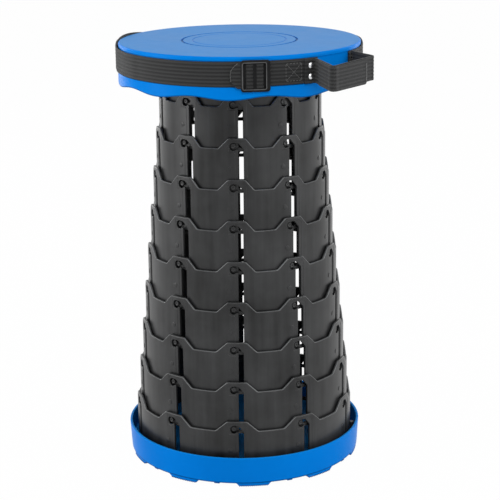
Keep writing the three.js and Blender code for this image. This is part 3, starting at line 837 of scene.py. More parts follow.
def round_rows():
    """(inset, depth, painted highlight share) rows across an edge of the ring, from its outer face to its
    inner one.
    """
    turns = [math.pi / 2 * i / ROUND_STEPS for i in range(ROUND_STEPS + 1)]
    rows = [(OUTER_ROUND * (1 - math.sin(turn)), OUTER_ROUND * (1 - math.cos(turn))) for turn in turns]
    rows += [(0, RING_WALL - INNER_ROUND), (INNER_ROUND, RING_WALL)]
    return [(*row, painted_light) for row, painted_light in zip(rows, RIM_HIGHLIGHT_SHARES)]


def ledge_outline(ring):
    """Outline of the shallow ledge round the slot and the notch."""
    side = SLOT_WIDTH / 2 + LEDGE_MARGIN
    if ring == 1:
        foot, top = FIRST_SLOT_FOOT - LEDGE_MARGIN, FIRST_SLOT_TOP + LEDGE_MARGIN
        return box_outline(-side, side, foot, top, LEDGE_CORNER)
    roof = NOTCH_HEIGHT + NOTCH_REACH + LEDGE_NOTCH_MARGIN
    foot = NOTCH_HEIGHT - NOTCH_DROP - NOTCH_REACH - LEDGE_NOTCH_MARGIN
    far = -NOTCH_OFFSET - NOTCH_REACH - LEDGE_NOTCH_MARGIN
    corners = ((far, foot), (-side, foot), (-side, LEDGE_FOOT), (side, LEDGE_FOOT),
               (side, roof - LEDGE_MARGIN), (side - LEDGE_MARGIN, roof), (far, roof))
    return filleted([(x, y, LEDGE_CORNER) for x, y in corners])


def top_edge(ring):
    """Humped top edge of one unit, from right to left, between the middles of two low edges."""
    width = math.radians(UNIT_ANGLE) * ring_radius(ring)
    low = RING_HEIGHT - HUMP_RISE
    foot_left = graded(HUMP_FOOT_LEFT, ring)
    foot_right = graded(HUMP_FOOT_RIGHT, ring)
    middle = (foot_right + width - foot_left) / 2
    if ring == 1:
        return [Vector((middle, RING_HEIGHT)), Vector((middle - width, RING_HEIGHT))]
    return filleted([
        (middle, low, 0),
        (foot_right, low, HUMP_FOOT),
        (graded(HUMP_RIGHT, ring), RING_HEIGHT, HUMP_SHOULDER),
        (-graded(HUMP_LEFT, ring), RING_HEIGHT, HUMP_CORNER),
        (-foot_left, low, HUMP_FOOT),
        (middle - width, low, 0),
    ], closed=False)


def window_parts(ring):
    """Window outline in parts: what it shares with the inner opening, its own last part, and the groove's."""
    half = SLOT_WIDTH / 2
    if ring == 1:
        return box_outline(-half, half, FIRST_SLOT_FOOT, FIRST_SLOT_TOP, SLOT_CORNER), [], []
    centre = Vector((-NOTCH_OFFSET, NOTCH_HEIGHT))
    low_centre = centre - Vector((0, NOTCH_DROP))
    foot = NOTCH_HEIGHT - NOTCH_FOOT
    roof = NOTCH_HEIGHT + NOTCH_REACH
    turn = math.acos(GUIDE_REACH / NOTCH_REACH)
    shared = filleted([
        (GUIDE_REACH - NOTCH_OFFSET, foot, 0),
        (-half, foot, NOTCH_FOOT_ROUND),
        (-half, GUIDE_END, SLOT_CORNER),
        (half, GUIDE_END, SLOT_CORNER),
        (half, roof - NOTCH_CORNER_DROP, NOTCH_ROUND),
        (half - NOTCH_CORNER, roof, NOTCH_ROUND),
        (-NOTCH_OFFSET, roof, 0),
    ], closed=False)
    shared += arc(centre, NOTCH_REACH, math.pi / 2, math.pi)[1:]
    shared += arc(low_centre, NOTCH_REACH, math.pi, math.pi + turn)
    own = arc(low_centre, NOTCH_REACH, math.pi + turn, 2 * math.pi - turn)
    groove_foot = (-NOTCH_OFFSET, GUIDE_END + GUIDE_REACH)
    return shared, own, [shared[-1]] + arc(groove_foot, GUIDE_REACH, math.pi, 2 * math.pi) + [shared[0]]


def lean(slot):
    """Degrees from the way in which the mould's core is drawn to the way that a slot faces."""
    angle = slot * UNIT_ANGLE
    return angle - DRAW_ANGLE * round(angle / DRAW_ANGLE)


def drawn(points, depth, angle):
    """The window's outline at a depth, one side of its slot running along the draw of the mould's core."""
    half = SLOT_WIDTH / 2
    shift = (depth - RING_WALL) * math.tan(math.radians(angle)) * DRAW_SHARE
    left, right = (shift, 0) if shift < 0 else (0, shift)
    foot = NOTCH_HEIGHT - NOTCH_FOOT + WELD
    moved = []
    for p in points:
        if p.y > foot:
            share = min(1, max(0, (p.x + half) / SLOT_WIDTH))
            move = share * right
        elif p.x < -half - NOTCH_FOOT_ROUND - WELD:
            move = 0
        else:
            flat = half - SLOT_CORNER
            share = min(1, max(0, (p.x + flat) / (2 * flat)))
            move = share * right + (1 - share) * left
        moved.append(Vector((p.x + move, p.y)))
    return moved


def ring_unit(ring, angle):
    """One tenth of a ring, flat: x along the ring from the slot, y up and depth from its outer face."""
    shell = Shell()
    width = math.radians(UNIT_ANGLE) * ring_radius(ring)
    top = spaced(top_edge(ring), EDGE_STEP)
    right = top[0].x
    bottom = spaced([Vector((right - width, 0)), Vector((right, 0))], EDGE_STEP)
    rims = []
    # The top edge's rounding gets a painted highlight, the bottom edge none
    for edge, shares in ((top, rim_highlight(top)), (bottom, [0.0] * len(bottom))):
        lines = [(shifted(edge, -inset), depth, [painted_light * share for share in shares])
                 for inset, depth, painted_light in round_rows()]
        rims.append(shell.band(lines, closed=False))

    shared, own, groove = window_parts(ring)
    shared = spaced(shared, EDGE_STEP, closed=not own)
    if own:
        own = spaced(own, EDGE_STEP)[1:-1]
        groove = spaced(groove, EDGE_STEP)[1:-1]
    floor = RING_WALL - GUIDE_DEPTH
    edge_middle = WINDOW_ROUND * ROUND_SHARE
    window_rows = shell.band([
        (shifted(drawn(shared + own, depth, angle), offset, closed=True), depth, 0.0)
        for offset, depth in ((WINDOW_ROUND, LEDGE_DEPTH), (edge_middle, LEDGE_DEPTH + edge_middle),
                              (0, LEDGE_DEPTH + WINDOW_ROUND), (0, floor))
    ])
    level, floor_row = window_rows[-1]
    shared_row = floor_row[:len(shared)]
    groove_row = shell.flat_row(groove, floor)
    opening = drawn(shared, RING_WALL, angle) + groove
    inner_row = shell.flat_row(opening, RING_WALL)
    shell.bridge(inner_row, shared_row + groove_row)
    if groove:
        outline = [level[len(shared) - 1]] + groove + [level[0]] + level[:len(shared) - 1:-1]
        indices = [shared_row[-1]] + groove_row + [shared_row[0]] + floor_row[:len(shared) - 1:-1]
        shell.fill([(outline, indices)], floor, flip=True)

    ledge = spaced(ledge_outline(ring), EDGE_STEP, closed=True)
    ledge_rows = shell.band([(shifted(ledge, -inset, closed=True), depth, 0.0)
                             for inset, depth in ((0, 0), (LEDGE_SLOPE, LEDGE_DEPTH))])
    shell.fill([ledge_rows[1], window_rows[0]], LEDGE_DEPTH)

    grid = np.array([
        (right - width + GRID_ACROSS * (i + 0.5), GRID_UP * (j + 0.5))
        for i in range(int(width / GRID_ACROSS)) for j in range(int(RING_HEIGHT / GRID_UP))
    ])
    for depth, end, window_loop in ((0, 0, ledge_rows[0]), (RING_WALL, -1, (opening, inner_row))):
        (head_line, head), (foot_line, foot) = (rows[end] for rows in rims)
        rise = max(1, round((head_line[0].y - foot_line[-1].y) / SEAM_STEP))
        heights = [i / rise for i in range(1, rise)]
        right_side = [foot_line[-1].lerp(head_line[0], share) for share in heights]
        left_side = [head_line[-1].lerp(foot_line[0], share) for share in heights]
        right_row = shell.flat_row(right_side, depth)
        left_row = shell.flat_row(left_side, depth)
        outline = foot_line + right_side + head_line + left_side
        shell.fill([(outline, foot + right_row + head + left_row), window_loop], depth, depth > 0, grid)
    return shell


def wrapped(ring, floor):
    """Ten units bent round the axis, welded into one closed ring."""
    radius = ring_radius(ring)
    leans = {lean(slot) for slot in range(UNIT_COUNT)}
    units = {angle: ring_unit(ring, angle) for angle in leans}
    points = []
    painted_light = []
    faces = []
    first = 0
    for slot in range(UNIT_COUNT):
        unit = units[lean(slot)]
        flat = np.array(unit.points)
        turn = flat[:, 0] / radius + math.radians(slot_angle(ring, slot))
        reach = radius - flat[:, 2]
        points.append(np.stack([reach * np.sin(turn), -reach * np.cos(turn), floor + flat[:, 1]], axis=1))
        faces += [tuple(first + k for k in face) for face in unit.faces]
        painted_light += unit.painted_light
        first += len(flat)
    return welded(np.concatenate(points), faces, painted_light)


def welded(points, faces, painted_light):
    """The same mesh with points that lie in one place joined."""
    keys = {}
    index = np.zeros(len(points), dtype=int)
    kept = []
    for i, key in enumerate(map(tuple, np.round(points / WELD).astype(int).tolist())):
        if key not in keys:
            keys[key] = len(kept)
            kept.append(tuple(points[i]))
        index[i] = keys[key]
    shell = Shell()
    shell.points = kept
    shell.painted_light = [0.0] * len(kept)
    for i, share in zip(index, painted_light):
        shell.painted_light[i] = share
    for face in faces:
        corners = tuple(dict.fromkeys(int(index[k]) for k in face))
        if len(corners) > 2:
            shell.faces.append(corners)
    return shell


def mark_form():
    top = PIN_ROOT + MARK_RISE
    return turned([(0, 0), (MARK_RADIUS, 0), (MARK_RADIUS, top - MARK_RISE / 2),
                   (MARK_RADIUS - MARK_RISE, top), (0, top)], SMALL_SEGMENTS)


def boss_form(radius, height):
    """Round boss with a bevelled top."""
    shoulder = height - INNER_ROUND
    profile = [(0, 0), (radius, 0), (radius, shoulder), (radius - INNER_ROUND, height), (0, height)]
    return turned(profile, SMALL_SEGMENTS)


def pin_form():
    """Round pin with a rounded edge, a dished face and a dimple."""
    length = PIN_ROOT + PIN_REACH
    return turned([
        (0, 0),
        (PIN_RADIUS, 0),
        *arc((PIN_RADIUS - PIN_EDGE, length - PIN_EDGE), PIN_EDGE, 0, math.pi / 2),
        (PIN_DISH_RADIUS, length - PIN_DISH_DEPTH),
        (PIN_DIMPLE_RADIUS, length - PIN_DISH_DEPTH),
        (PIN_DIMPLE_FLOOR_RADIUS, length - PIN_DIMPLE_DEPTH),
        (0, length - PIN_DIMPLE_DEPTH),
    ], SMALL_SEGMENTS)


def ring(number):
    name = f"ring_{number:02d}"
    floor = node_floor(name)
    radius = ring_radius(number)
    root = radius - PIN_ROOT
    shell = wrapped(number, floor)
    for slot in range(UNIT_COUNT):
        mark_angle = slot_angle(number, slot) + math.degrees(MARK_OFFSET / radius)
        shell.add(mark_form(), outwards(mark_angle, root, floor + MARK_HEIGHT))
        if number < RING_COUNT:
            pin_angle = slot_angle(number + 1, slot) - math.degrees(NOTCH_OFFSET / ring_radius(number + 1))
            shell.add(pin_form(), outwards(pin_angle, root, floor + PIN_HEIGHT))
    if number == 1:
        top = floor + RING_HEIGHT - FLANGE_DROP
        inner = radius - RING_WALL - FLANGE_REACH
        outer = radius - RING_WALL / 2
        section = [(inner, top - FLANGE_WALL), (outer, top - FLANGE_WALL), (outer, top), (inner, top)]
        shell.add(turned(section, closed=True))
    if number == RING_COUNT:
        for angle in SCREW_ANGLES:
            shell.add(boss_form(BASE_BOSS_RADIUS, BASE_BOSS_HEIGHT), upright(angle, BASE_SCREW_RADIUS, floor))
    body = {1: "seat", RING_COUNT: "base"}.get(number, f"stage_{number:02d}")
    piece(f"{name}_moulding", shell, "black_plastic", body, [name])


# Seat

def seat_profile():
    """(radius, height) round the section, from the axis under the plate and back over the top."""
    groove_end = TOP_GROOVE_RADIUS - TOP_GROOVE_WIDTH
    return spaced(filleted([
        (0, -SEAT_PLATE, 0),
        (SEAT_WALL_INNER, -SEAT_PLATE, SEAT_INNER_ROUND),
        (SEAT_WALL_INNER, GROOVE_FOOT, 0),
        (SEAT_WALL_INNER, -SEAT_DEPTH, SKIRT_ROUND),
        (SKIRT_RADIUS, -SEAT_DEPTH, SKIRT_ROUND),
        (SKIRT_RADIUS, -SEAT_DEPTH + EDGE_LINE, 0),
        (SKIRT_RADIUS, GROOVE_FOOT, SKIRT_TOP_ROUND),
        (GROOVE_RADIUS, GROOVE_FOOT, GROOVE_ROUND),
        (GROOVE_RADIUS, -GROOVE_DROP, GROOVE_ROUND),
        (LIP_RADIUS, -GROOVE_DROP, LIP_ROUND),
        (LIP_RADIUS, 0, RIM_ROUND),
        (TOP_GROOVE_RADIUS, 0, TOP_GROOVE_ROUND),
        (TOP_GROOVE_RADIUS - TOP_GROOVE_SLOPE, -TOP_GROOVE_DEPTH, TOP_GROOVE_SLOPE),
        (groove_end + TOP_GROOVE_SLOPE, -TOP_GROOVE_DEPTH, TOP_GROOVE_SLOPE),
        (groove_end, 0, TOP_GROOVE_ROUND),
        (TOP_LINE_RADIUS, 0, GROOVE_ROUND),
        (TOP_LINE_RADIUS - TOP_LINE_WIDTH / 2, -TOP_LINE_DEPTH, 0),
        (TOP_LINE_RADIUS - TOP_LINE_WIDTH, 0, GROOVE_ROUND),
        (0, 0, 0),
    ], closed=False), PROFILE_STEP)


def seat():
    shell = turned(seat_profile())
    points = []
    for i, (x, y, z) in enumerate(shell.points):
        # Painted shade: the top's grooves and the skirt's rounded foot are darkened
        is_groove = math.hypot(x, y) < TOP_GROOVE_RADIUS and -SEAT_PLATE / 2 < z < -TOP_LINE_DEPTH / 2
        if is_groove or z < -SEAT_DEPTH + SKIRT_ROUND + WELD:
            shell.painted_light[i] = EDGE_PAINTED_SHADE
        if z < GROOVE_FOOT:
            turn = math.atan2(x, -y) - math.radians(SKIRT_LOBE_ANGLE)
            share = min(1.0, (GROOVE_FOOT - z) / (SEAT_DEPTH + GROOVE_FOOT))
            share = share * share * (3 - 2 * share)
            z += SKIRT_WAVE * (1 - math.cos(turn * UNIT_COUNT)) / 2 * share
        points.append((x, y, z + SEAT_TOP))
    shell.points = points
    plate_middle = SEAT_TOP - SEAT_PLATE / 2
    boss_bottom = node_top("ring_01") - FLANGE_DROP + INNER_ROUND
    for angle in SCREW_ANGLES:
        boss = boss_form(SEAT_BOSS_RADIUS, plate_middle - boss_bottom)
        shell.add(boss, upright(angle, SEAT_SCREW_RADIUS, boss_bottom))
    rib_bottom = SEAT_TOP - SEAT_PLATE - SEAT_RIB_DEPTH
    for i in range(UNIT_COUNT):
        angle = SCREW_ANGLE + i * UNIT_ANGLE
        shell.add(bar_form(SEAT_RIB_WALL, SEAT_RIB_ENDS, rib_bottom, plate_middle, angle))
    piece("seat_moulding", shell, "blue_plastic", "seat", ["seat_cover"])


def bar_form(width, ends, bottom, top, angle):
    """Upright radial rib between two radii."""
    turn = Matrix.Rotation(math.radians(angle), 4, "Z")
    shell = Shell(lambda x, y, height: turn @ Vector((x, y, height)))
    outline = box_outline(-width / 2, width / 2, -ends[1], -ends[0], width / 4)
    (_, high), (_, low) = shell.band([(outline, top, 0.0), (outline, bottom, 0.0)])
    shell.faces += [tuple(high), tuple(reversed(low))]
    return shell


# Base tray

def tray_profile():
    """(radius, height) round the section, from the axis under the hub and back over the floor."""
    slope = (TRAY_RIM_RADIUS - TRAY_FOOT_RADIUS) / (TRAY_TOP - TRAY_EDGE_HEIGHT)
    hub = [(0, 0, 0), (TRAY_HUB_RADIUS, 0, TRAY_HUB_ROUND), (TRAY_HUB_RADIUS, TRAY_FLOOR_BOTTOM, TRAY_CORNER)]
    sides = []
    for height, wall, radius in (
        (TRAY_FLOOR_BOTTOM, TRAY_WALL, TRAY_CORNER),
        (TRAY_EDGE_HEIGHT, TRAY_WALL, TRAY_EDGE_ROUND),
        (TRAY_EDGE_HEIGHT, 0, SKIRT_ROUND),
        (TRAY_EDGE_HEIGHT + EDGE_LINE, 0, 0),
        (TRAY_TOP, 0, TRAY_RIM_ROUND),
        (TRAY_TOP, TRAY_WALL, TRAY_RIM_ROUND),
        (TRAY_FLOOR, TRAY_WALL, TRAY_FLOOR_ROUND),
    ):
        sides.append((TRAY_FOOT_RADIUS + slope * (height - TRAY_EDGE_HEIGHT) - wall, height, radius))
    return spaced(filleted([*hub, *sides, (0, TRAY_FLOOR, 0)], closed=False), PROFILE_STEP)


def pad_form(angle):
    """Foot pad with a toothed underside, pushed out from the tray's edge."""
    half = PAD_FOOT_WIDTH / 2
    teeth = round(PAD_FOOT_WIDTH / TOOTH_WIDTH)
    pitch = PAD_FOOT_WIDTH / teeth
    toothed = [Vector((i * pitch - half + pitch * share, TOOTH_DEPTH * rise))
               for i in range(teeth) for share, rise in TOOTH_STOP_SHARES]
    sides = filleted([
        (half, TOOTH_DEPTH, 0),
        (PAD_TOP_WIDTH / 2, TRAY_EDGE_HEIGHT, PAD_ROUND),
        (half, TRAY_FLOOR_MIDDLE, 0),
        (-half, TRAY_FLOOR_MIDDLE, 0),
        (-PAD_TOP_WIDTH / 2, TRAY_EDGE_HEIGHT, PAD_ROUND),
        (-half, TOOTH_DEPTH, 0),
    ], closed=False)
    plain = [Vector((-half, INNER_ROUND)), Vector((half, INNER_ROUND)), *sides[1:-1]]
    toothed, plain = (spaced(line, EDGE_STEP, closed=True) for line in (toothed + sides[1:], plain))
    # The teeth and the bottom of the plain block behind them get painted shade
    shell = bent_block(toothed, PAD_RADIUS, TOOTH_REACH, angle, PAD_EDGE, TOOTH_DEPTH * TOOTH_SHADE_SHARE)
    outer = PAD_RADIUS + INNER_ROUND - TOOTH_REACH
    return shell.add(bent_block(plain, outer, PAD_DEPTH - TOOTH_REACH, angle, INNER_ROUND / 3, TOOTH_DEPTH))


def bent_block(outline, outer, depth, angle, edge, painted_shade_below):
    """A closed outline, seen from outside, as a block bent round the axis, its outer edge rounded, and its
    points below a given height darkened with painted shade.
    """
    shell = Shell(lambda x, y, fall: plan_point(angle + math.degrees(x / outer), outer - fall, y))
    lines = []
    for inset, fall in ((edge, 0), (edge * ROUND_SHARE, edge * ROUND_SHARE), (0, edge), (0, depth)):
        line = shifted(outline, -inset, closed=True)
        # Points below the given height are marked for painted shade
        lines.append((line, fall, [float(p.y < painted_shade_below) for p in line]))
    rows = shell.band(lines)
    shell.fill([rows[0]])
    shell.fill([rows[-1]], flip=True)
    return shell


def tray():
    shell = turned(tray_profile())
    edge_top = TRAY_EDGE_HEIGHT + SKIRT_ROUND + WELD
    # Painted shade on the tray's outer foot, up to just above its edge height
    shell.painted_light = [float(z < edge_top and math.hypot(x, y) > BASE_SCREW_RADIUS) for x, y, z in shell.points]
    rib_ends = (TRAY_HUB_RADIUS - TRAY_RIB_WALL, TRAY_FOOT_RADIUS - PAD_DEPTH)
    nub = filleted([
        (-NUB_WIDTH / 2, TRAY_EDGE_HEIGHT - NUB_DEPTH, NUB_ROUND),
        (NUB_WIDTH / 2, TRAY_EDGE_HEIGHT - NUB_DEPTH, NUB_ROUND),
        (NUB_WIDTH / 2, TRAY_EDGE_HEIGHT + NUB_DEPTH, 0),
        (-NUB_WIDTH / 2, TRAY_EDGE_HEIGHT + NUB_DEPTH, 0),
    ])
    for i in range(UNIT_COUNT):
        angle = FIRST_PAD_ANGLE + i * UNIT_ANGLE
        shell.add(bar_form(TRAY_RIB_WALL, rib_ends, TRAY_EDGE_HEIGHT, TRAY_FLOOR_MIDDLE, angle))
        shell.add(pad_form(angle))
        # The nub's lower half, below the tray's edge height, gets painted shade
        shell.add(bent_block(nub, PAD_RADIUS, NUB_REACH, angle + UNIT_ANGLE / 2, NUB_EDGE, TRAY_EDGE_HEIGHT))
    piece("tray_moulding", shell, "blue_plastic", "base", ["base_tray"])


# Screws and rivets

def screw_form():
    """Pan-head screw standing on its head, with a recess in its underside and a ridged shank."""
    ridges = int((SCREW_LENGTH - SCREW_HEAD_HEIGHT - SCREW_RADIUS) / THREAD_PITCH)
    return turned([
        (0, SCREW_RECESS),
        (RECESS_WIDTH, SCREW_RECESS),
        (RECESS_MOUTH, 0),
        *((SCREW_HEAD_RADIUS * share, SCREW_HEAD_HEIGHT * rise) for share, rise in HEAD_SHARES),
        (SCREW_RADIUS, SCREW_HEAD_HEIGHT),
        *((SCREW_RADIUS * share, SCREW_HEAD_HEIGHT + (i + rise) * THREAD_PITCH)
          for i in range(ridges) for share, rise in THREAD_SHARES),
        (SCREW_RADIUS * CORE_SHARE, SCREW_LENGTH - SCREW_RADIUS),
        (0, SCREW_LENGTH),
    ], SMALL_SEGMENTS)


def screws():
    for body, radius in (("base", BASE_SCREW_RADIUS), ("seat", SEAT_SCREW_RADIUS)):
        for i, angle in enumerate(SCREW_ANGLES, 1):
            name = f"{body}_screw_{i}"
            shell = Shell().add(screw_form(), upright(angle, radius, node_floor(name)))
            piece(f"{name}_threaded", shell, "steel", body, [name])


def rivet_form():
    """Domed rivet head with its shank and the set-over tail inside the seat's wall."""
    tail = SEAT_WALL_INNER - RIVET_SEAT - RIVET_TAIL_HEIGHT - INNER_ROUND
    dome_radius = (RIVET_RADIUS ** 2 + RIVET_HEIGHT ** 2) / (2 * RIVET_HEIGHT)
    half = math.asin(RIVET_RADIUS / dome_radius)
    turns = [half * (1 - i / DOME_STEPS) for i in range(DOME_STEPS + 1)]
    centre = RIVET_HEIGHT - dome_radius
    dome = [(dome_radius * math.sin(turn), centre + dome_radius * math.cos(turn)) for turn in turns]
    return turned([
        (0, tail),
        (RIVET_TAIL_RADIUS, tail),
        (RIVET_TAIL_RADIUS, tail + RIVET_TAIL_HEIGHT),
        (RIVET_RADIUS / 2, tail + RIVET_TAIL_HEIGHT),
        (RIVET_RADIUS / 2, -INNER_ROUND),
        (RIVET_RADIUS - INNER_ROUND, -INNER_ROUND),
        *dome,
    ], SMALL_SEGMENTS)


def rivets():
    for end, angle in (("front", FRONT_RIVET_ANGLE), ("rear", REAR_RIVET_ANGLE)):
        for place, side in (("upper", 1), ("lower", -1)):
            name = f"rivet_{end}_{place}"
            matrix = outwards(angle, RIVET_SEAT, STRAP_MIDDLE + side * RIVET_SPACING / 2)
            piece(f"{name}_domed", Shell().add(rivet_form(), matrix), "steel", "seat", [name])


# Webbing

def webbing_section():
    """(across, up) round the webbing's section: ribbed on both faces, with rounded edges."""
    half = WEB_WIDTH / 2
    steps = WEB_RIBS * RIB_STEPS
    face = []
    for i in range(steps + 1):
        up = -half + WEB_EDGE / 2 + (WEB_WIDTH - WEB_EDGE) * i / steps
        rib = math.cos(2 * math.pi * WEB_RIBS * i / steps)
        reach = WEB_THICKNESS / 2 - WEB_RIB_RISE * (1 + rib) / 2
        near_edge = min(1.0, (half - abs(up)) / WEB_EDGE)
        face.append((reach * math.sqrt(1 - (1 - near_edge) ** 2 * WEB_EDGE_SHARE), up))
    return face + [(-across, up) for across, up in reversed(face)]


def swept(path, rises):
    """Webbing on edge along plan points, raised at each. Returns the shell and its weave places."""
    shell = Shell()
    weave = []
    section = webbing_section()
    length = 0.0
    rows = []
    for i, (here, rise) in enumerate(zip(path, rises)):
        before = path[max(i - 1, 0)]
        way = (path[min(i + 1, len(path) - 1)] - before).normalized()
        side = Vector((way.y, -way.x))
        length += (here - before).length
        middle = STRAP_MIDDLE + rise
        rows.append(shell.row([(*(here + side * across), middle + up) for across, up in section]))
        weave += [(length, up) for _, up in section]
    for near, far in zip(rows, rows[1:]):
        shell.bridge(near, far)
    shell.faces += [tuple(reversed(rows[0])), tuple(rows[-1])]
    return shell, weave


def steps_between(start, end, step):
    count = max(2, round((end - start) / step))
    return [start + (end - start) * i / count for i in range(count + 1)]


def strap():
    path = []
    rises = []
    for angle in steps_between(*STRAP_ENDS, STRAP_STEP):
        rise = sum(sway * math.sin(math.radians(waves * angle + phase)) for waves, phase, sway in STRAP_SWAYS)
        radius = STRAP_RADIUS
        for middle, reach, lift, stand_off in STRAP_LIFTS:
            share = math.cos(math.pi / 2 * min(1, abs(angle - middle) / reach)) ** 2
            rise += lift * share
            radius += stand_off * (1 - (1 - share) ** STRAP_LIFT_POWER)
        path.append(plan_point(angle, radius).to_2d())
        rises.append(rise)
    shell, weave = swept(path, rises)
    piece("strap_webbing", shell, "webbing", "seat", ["strap_band"], weave)


def smooth_path(stops, count):
    """Evenly spaced points of a centripetal curve through the stops."""
    fine = []
    padded = [2 * stops[0] - stops[1], *stops, 2 * stops[-1] - stops[-2]]
    for four in zip(padded, padded[1:], padded[2:], padded[3:]):
        knots = [0.0]
        for p, q in zip(four, four[1:]):
            knots.append(knots[-1] + math.sqrt((q - p).length))
        for i in range(CURVE_STEPS):
            t = knots[1] + (knots[2] - knots[1]) * i / CURVE_STEPS
            points = four
            for spans in CURVE_SPANS:
                shares = [(t - knots[low]) / (knots[high] - knots[low]) for low, high in spans]
                points = [p.lerp(q, share) for p, q, share in zip(points, points[1:], shares)]
            fine += points
    fine.append(stops[-1])
    lengths = np.concatenate([[0], np.cumsum([(q - p).length for p, q in zip(fine, fine[1:])])])
    even = np.linspace(0, lengths[-1], count + 1)
    xs, ys = (np.interp(even, lengths, [p[axis] for p in fine]) for axis in (0, 1))
    return [Vector(place) for place in zip(xs, ys)]


def loop_path():
    crease, corner, tip, back = (plan_point(angle, LOOP_OUTER + reach).to_2d()
                                 for angle, reach in (LOOP_CREASE, LOOP_CORNER, LOOP_TIP, LOOP_RETURN))
    before, after, near_tip = LOOP_CORNER_SHARES
    front, rear = ([plan_point(angle, LOOP_LIE).to_2d() for angle in angles] for angles in (
        (LOOP_ENDS[0], FRONT_RIVET_ANGLE, FRONT_RIVET_ANGLE + LOOP_FLATS[0]),
        (REAR_RIVET_ANGLE - LOOP_FLATS[1], REAR_RIVET_ANGLE, LOOP_ENDS[1])))
    stops = [*front, crease, crease.lerp(corner, before), corner, corner.lerp(tip, after),
             corner.lerp(tip, near_tip), tip, back, *rear]
    return smooth_path(stops, LOOP_POINTS)


def carry_loop():
    path = loop_path()
    rises = (-np.interp(np.arange(len(path)) / LOOP_POINTS, LOOP_SAG_SHARES, LOOP_SAGS)).tolist()
    shell, weave = swept(path, rises)
    piece("carry_loop_webbing", shell, "webbing", "seat", ["carry_loop"], weave)

    first, last = (round(share * LOOP_POINTS) for share in OVERLAY_SHARES)
    outer = shifted(path, OVERLAY_GAP)
    drops = [rise - OVERLAY_DROP * i / (last - first) for i, rise in enumerate(rises[first:last])]
    shell, weave = swept(outer[first:last], drops)
    middle = STRAP_MIDDLE + drops[-1]
    foot = middle - WEB_WIDTH / 2
    points = []
    for (x, y, z), (along, _) in zip(shell.points, weave):
        inner = OVERLAY_CORNER - (weave[-1][0] - along)
        if inner > 0:
            z = max(z, foot + OVERLAY_CORNER - math.sqrt(OVERLAY_CORNER ** 2 - inner ** 2))
        points.append((x, y, z))
    shell.points = points
    piece("carry_loop_overlay", shell, "webbing", "seat", (), weave)

    face = shifted(outer, WEB_THICKNESS / 2)
    count = round(TACK_HEIGHT / TACK_PITCH)
    shell = Shell()
    for i in range(count):
        height = middle + (i + 0.5 - count / 2) * TACK_PITCH
        start, end = (Vector((*face[place], height)) for place in (last - TACK_STEPS, last - 1))
        shell.add(capsule(start, end, STITCH_RADIUS))
    piece("carry_loop_tack", shell, "thread", "seat")


def tail_back(share):
    """How far the tail's end is cut back, at a share of its half width from its middle."""
    side = max(0.0, abs(share) - TAIL_FLAT_SHARE) / (1 - TAIL_FLAT_SHARE)
    return TAIL_ROUND * side ** TAIL_ROUND_POWER


def strap_tail():
    path = [plan_point(angle, TAIL_RADIUS).to_2d() for angle in steps_between(*TAIL_ANGLES, TAIL_STEP)]
    shell, weave = swept(path, [-ADJUSTER_DROP] * len(path))
    middle = STRAP_MIDDLE - ADJUSTER_DROP
    tip = math.radians(TAIL_ANGLES[0])
    points = []
    for x, y, z in shell.points:
        angle = math.atan2(x, -y)
        taper = max(0.0, 1 - (angle - tip) * TAIL_RADIUS / TAIL_TAPER)
        angle += tail_back((z - middle) / (WEB_WIDTH / 2)) * taper / TAIL_RADIUS
        points.append(tuple(plan_point(math.degrees(angle), math.hypot(x, y), z)))
    shell.points = points
    piece("strap_tail_webbing", shell, "webbing", "seat", ["strap_tail"], weave)

    # Painted highlight: a thin bead in the light thread colour along the tail's cut end
    highlight_line = []
    for i in range(TAIL_HIGHLIGHT_STEPS + 1):
        share = TAIL_HIGHLIGHT_FOOT + (1 - TAIL_HIGHLIGHT_FOOT) * i / TAIL_HIGHLIGHT_STEPS
        angle = math.degrees(tip + tail_back(share) / TAIL_RADIUS)
        radius = TAIL_RADIUS + WEB_THICKNESS / 2 - TAIL_HIGHLIGHT_RADIUS
        highlight_line.append(plan_point(angle, radius, middle + share * WEB_WIDTH / 2))
    shell = Shell()
    for start, end in zip(highlight_line, highlight_line[1:]):
        shell.add(capsule(start, end, TAIL_HIGHLIGHT_RADIUS))
    piece("strap_tail_highlight", shell, "thread", "seat")


def capsule(start, end, radius):
    """Short rounded thread from start to end."""
    way = end - start
    length = way.length
    round_end = radius * ROUND_SHARE
    profile = [(0, 0), (radius - round_end, round_end), (radius, radius), (radius, length - radius),
               (radius - round_end, length - round_end), (0, length)]
    matrix = Matrix.Translation(start) @ way.to_track_quat("Z", "Y").to_matrix().to_4x4()
    return Shell().add(turned(profile, STITCH_SEGMENTS), matrix)


def stitching():
    """Rows of stitches round and across a box, between (angle, height) corners on the webbing."""
    radius = STRAP_RADIUS + WEB_THICKNESS / 2 + STITCH_LIFT / 2
    left, right = STITCH_BOX
    low, high = (STRAP_MIDDLE + side * STITCH_BOX_HEIGHT / 2 for side in (-1, 1))
    a, b, c, d = (left, low), (right, low), (right, high), (left, high)
    shell = Shell()
    for start, end in ((a, b), (b, c), (c, d), (d, a), (a, c), (d, b)):
        turn, climb = (last - first for first, last in zip(start, end))
        length = math.hypot(math.radians(turn) * radius, climb)
        count = max(1, round(length / STITCH_PITCH))
        half = STITCH_LENGTH / 2 / length
        for i in range(count):
            middle = (i + 0.5) / count
            ends = [plan_point(start[0] + turn * share, radius, start[1] + climb * share)
                    for share in (middle - half, middle + half)]
            shell.add(capsule(*ends, STITCH_RADIUS))
    piece("strap_stitches", shell, "thread", "seat")


# Slide adjuster

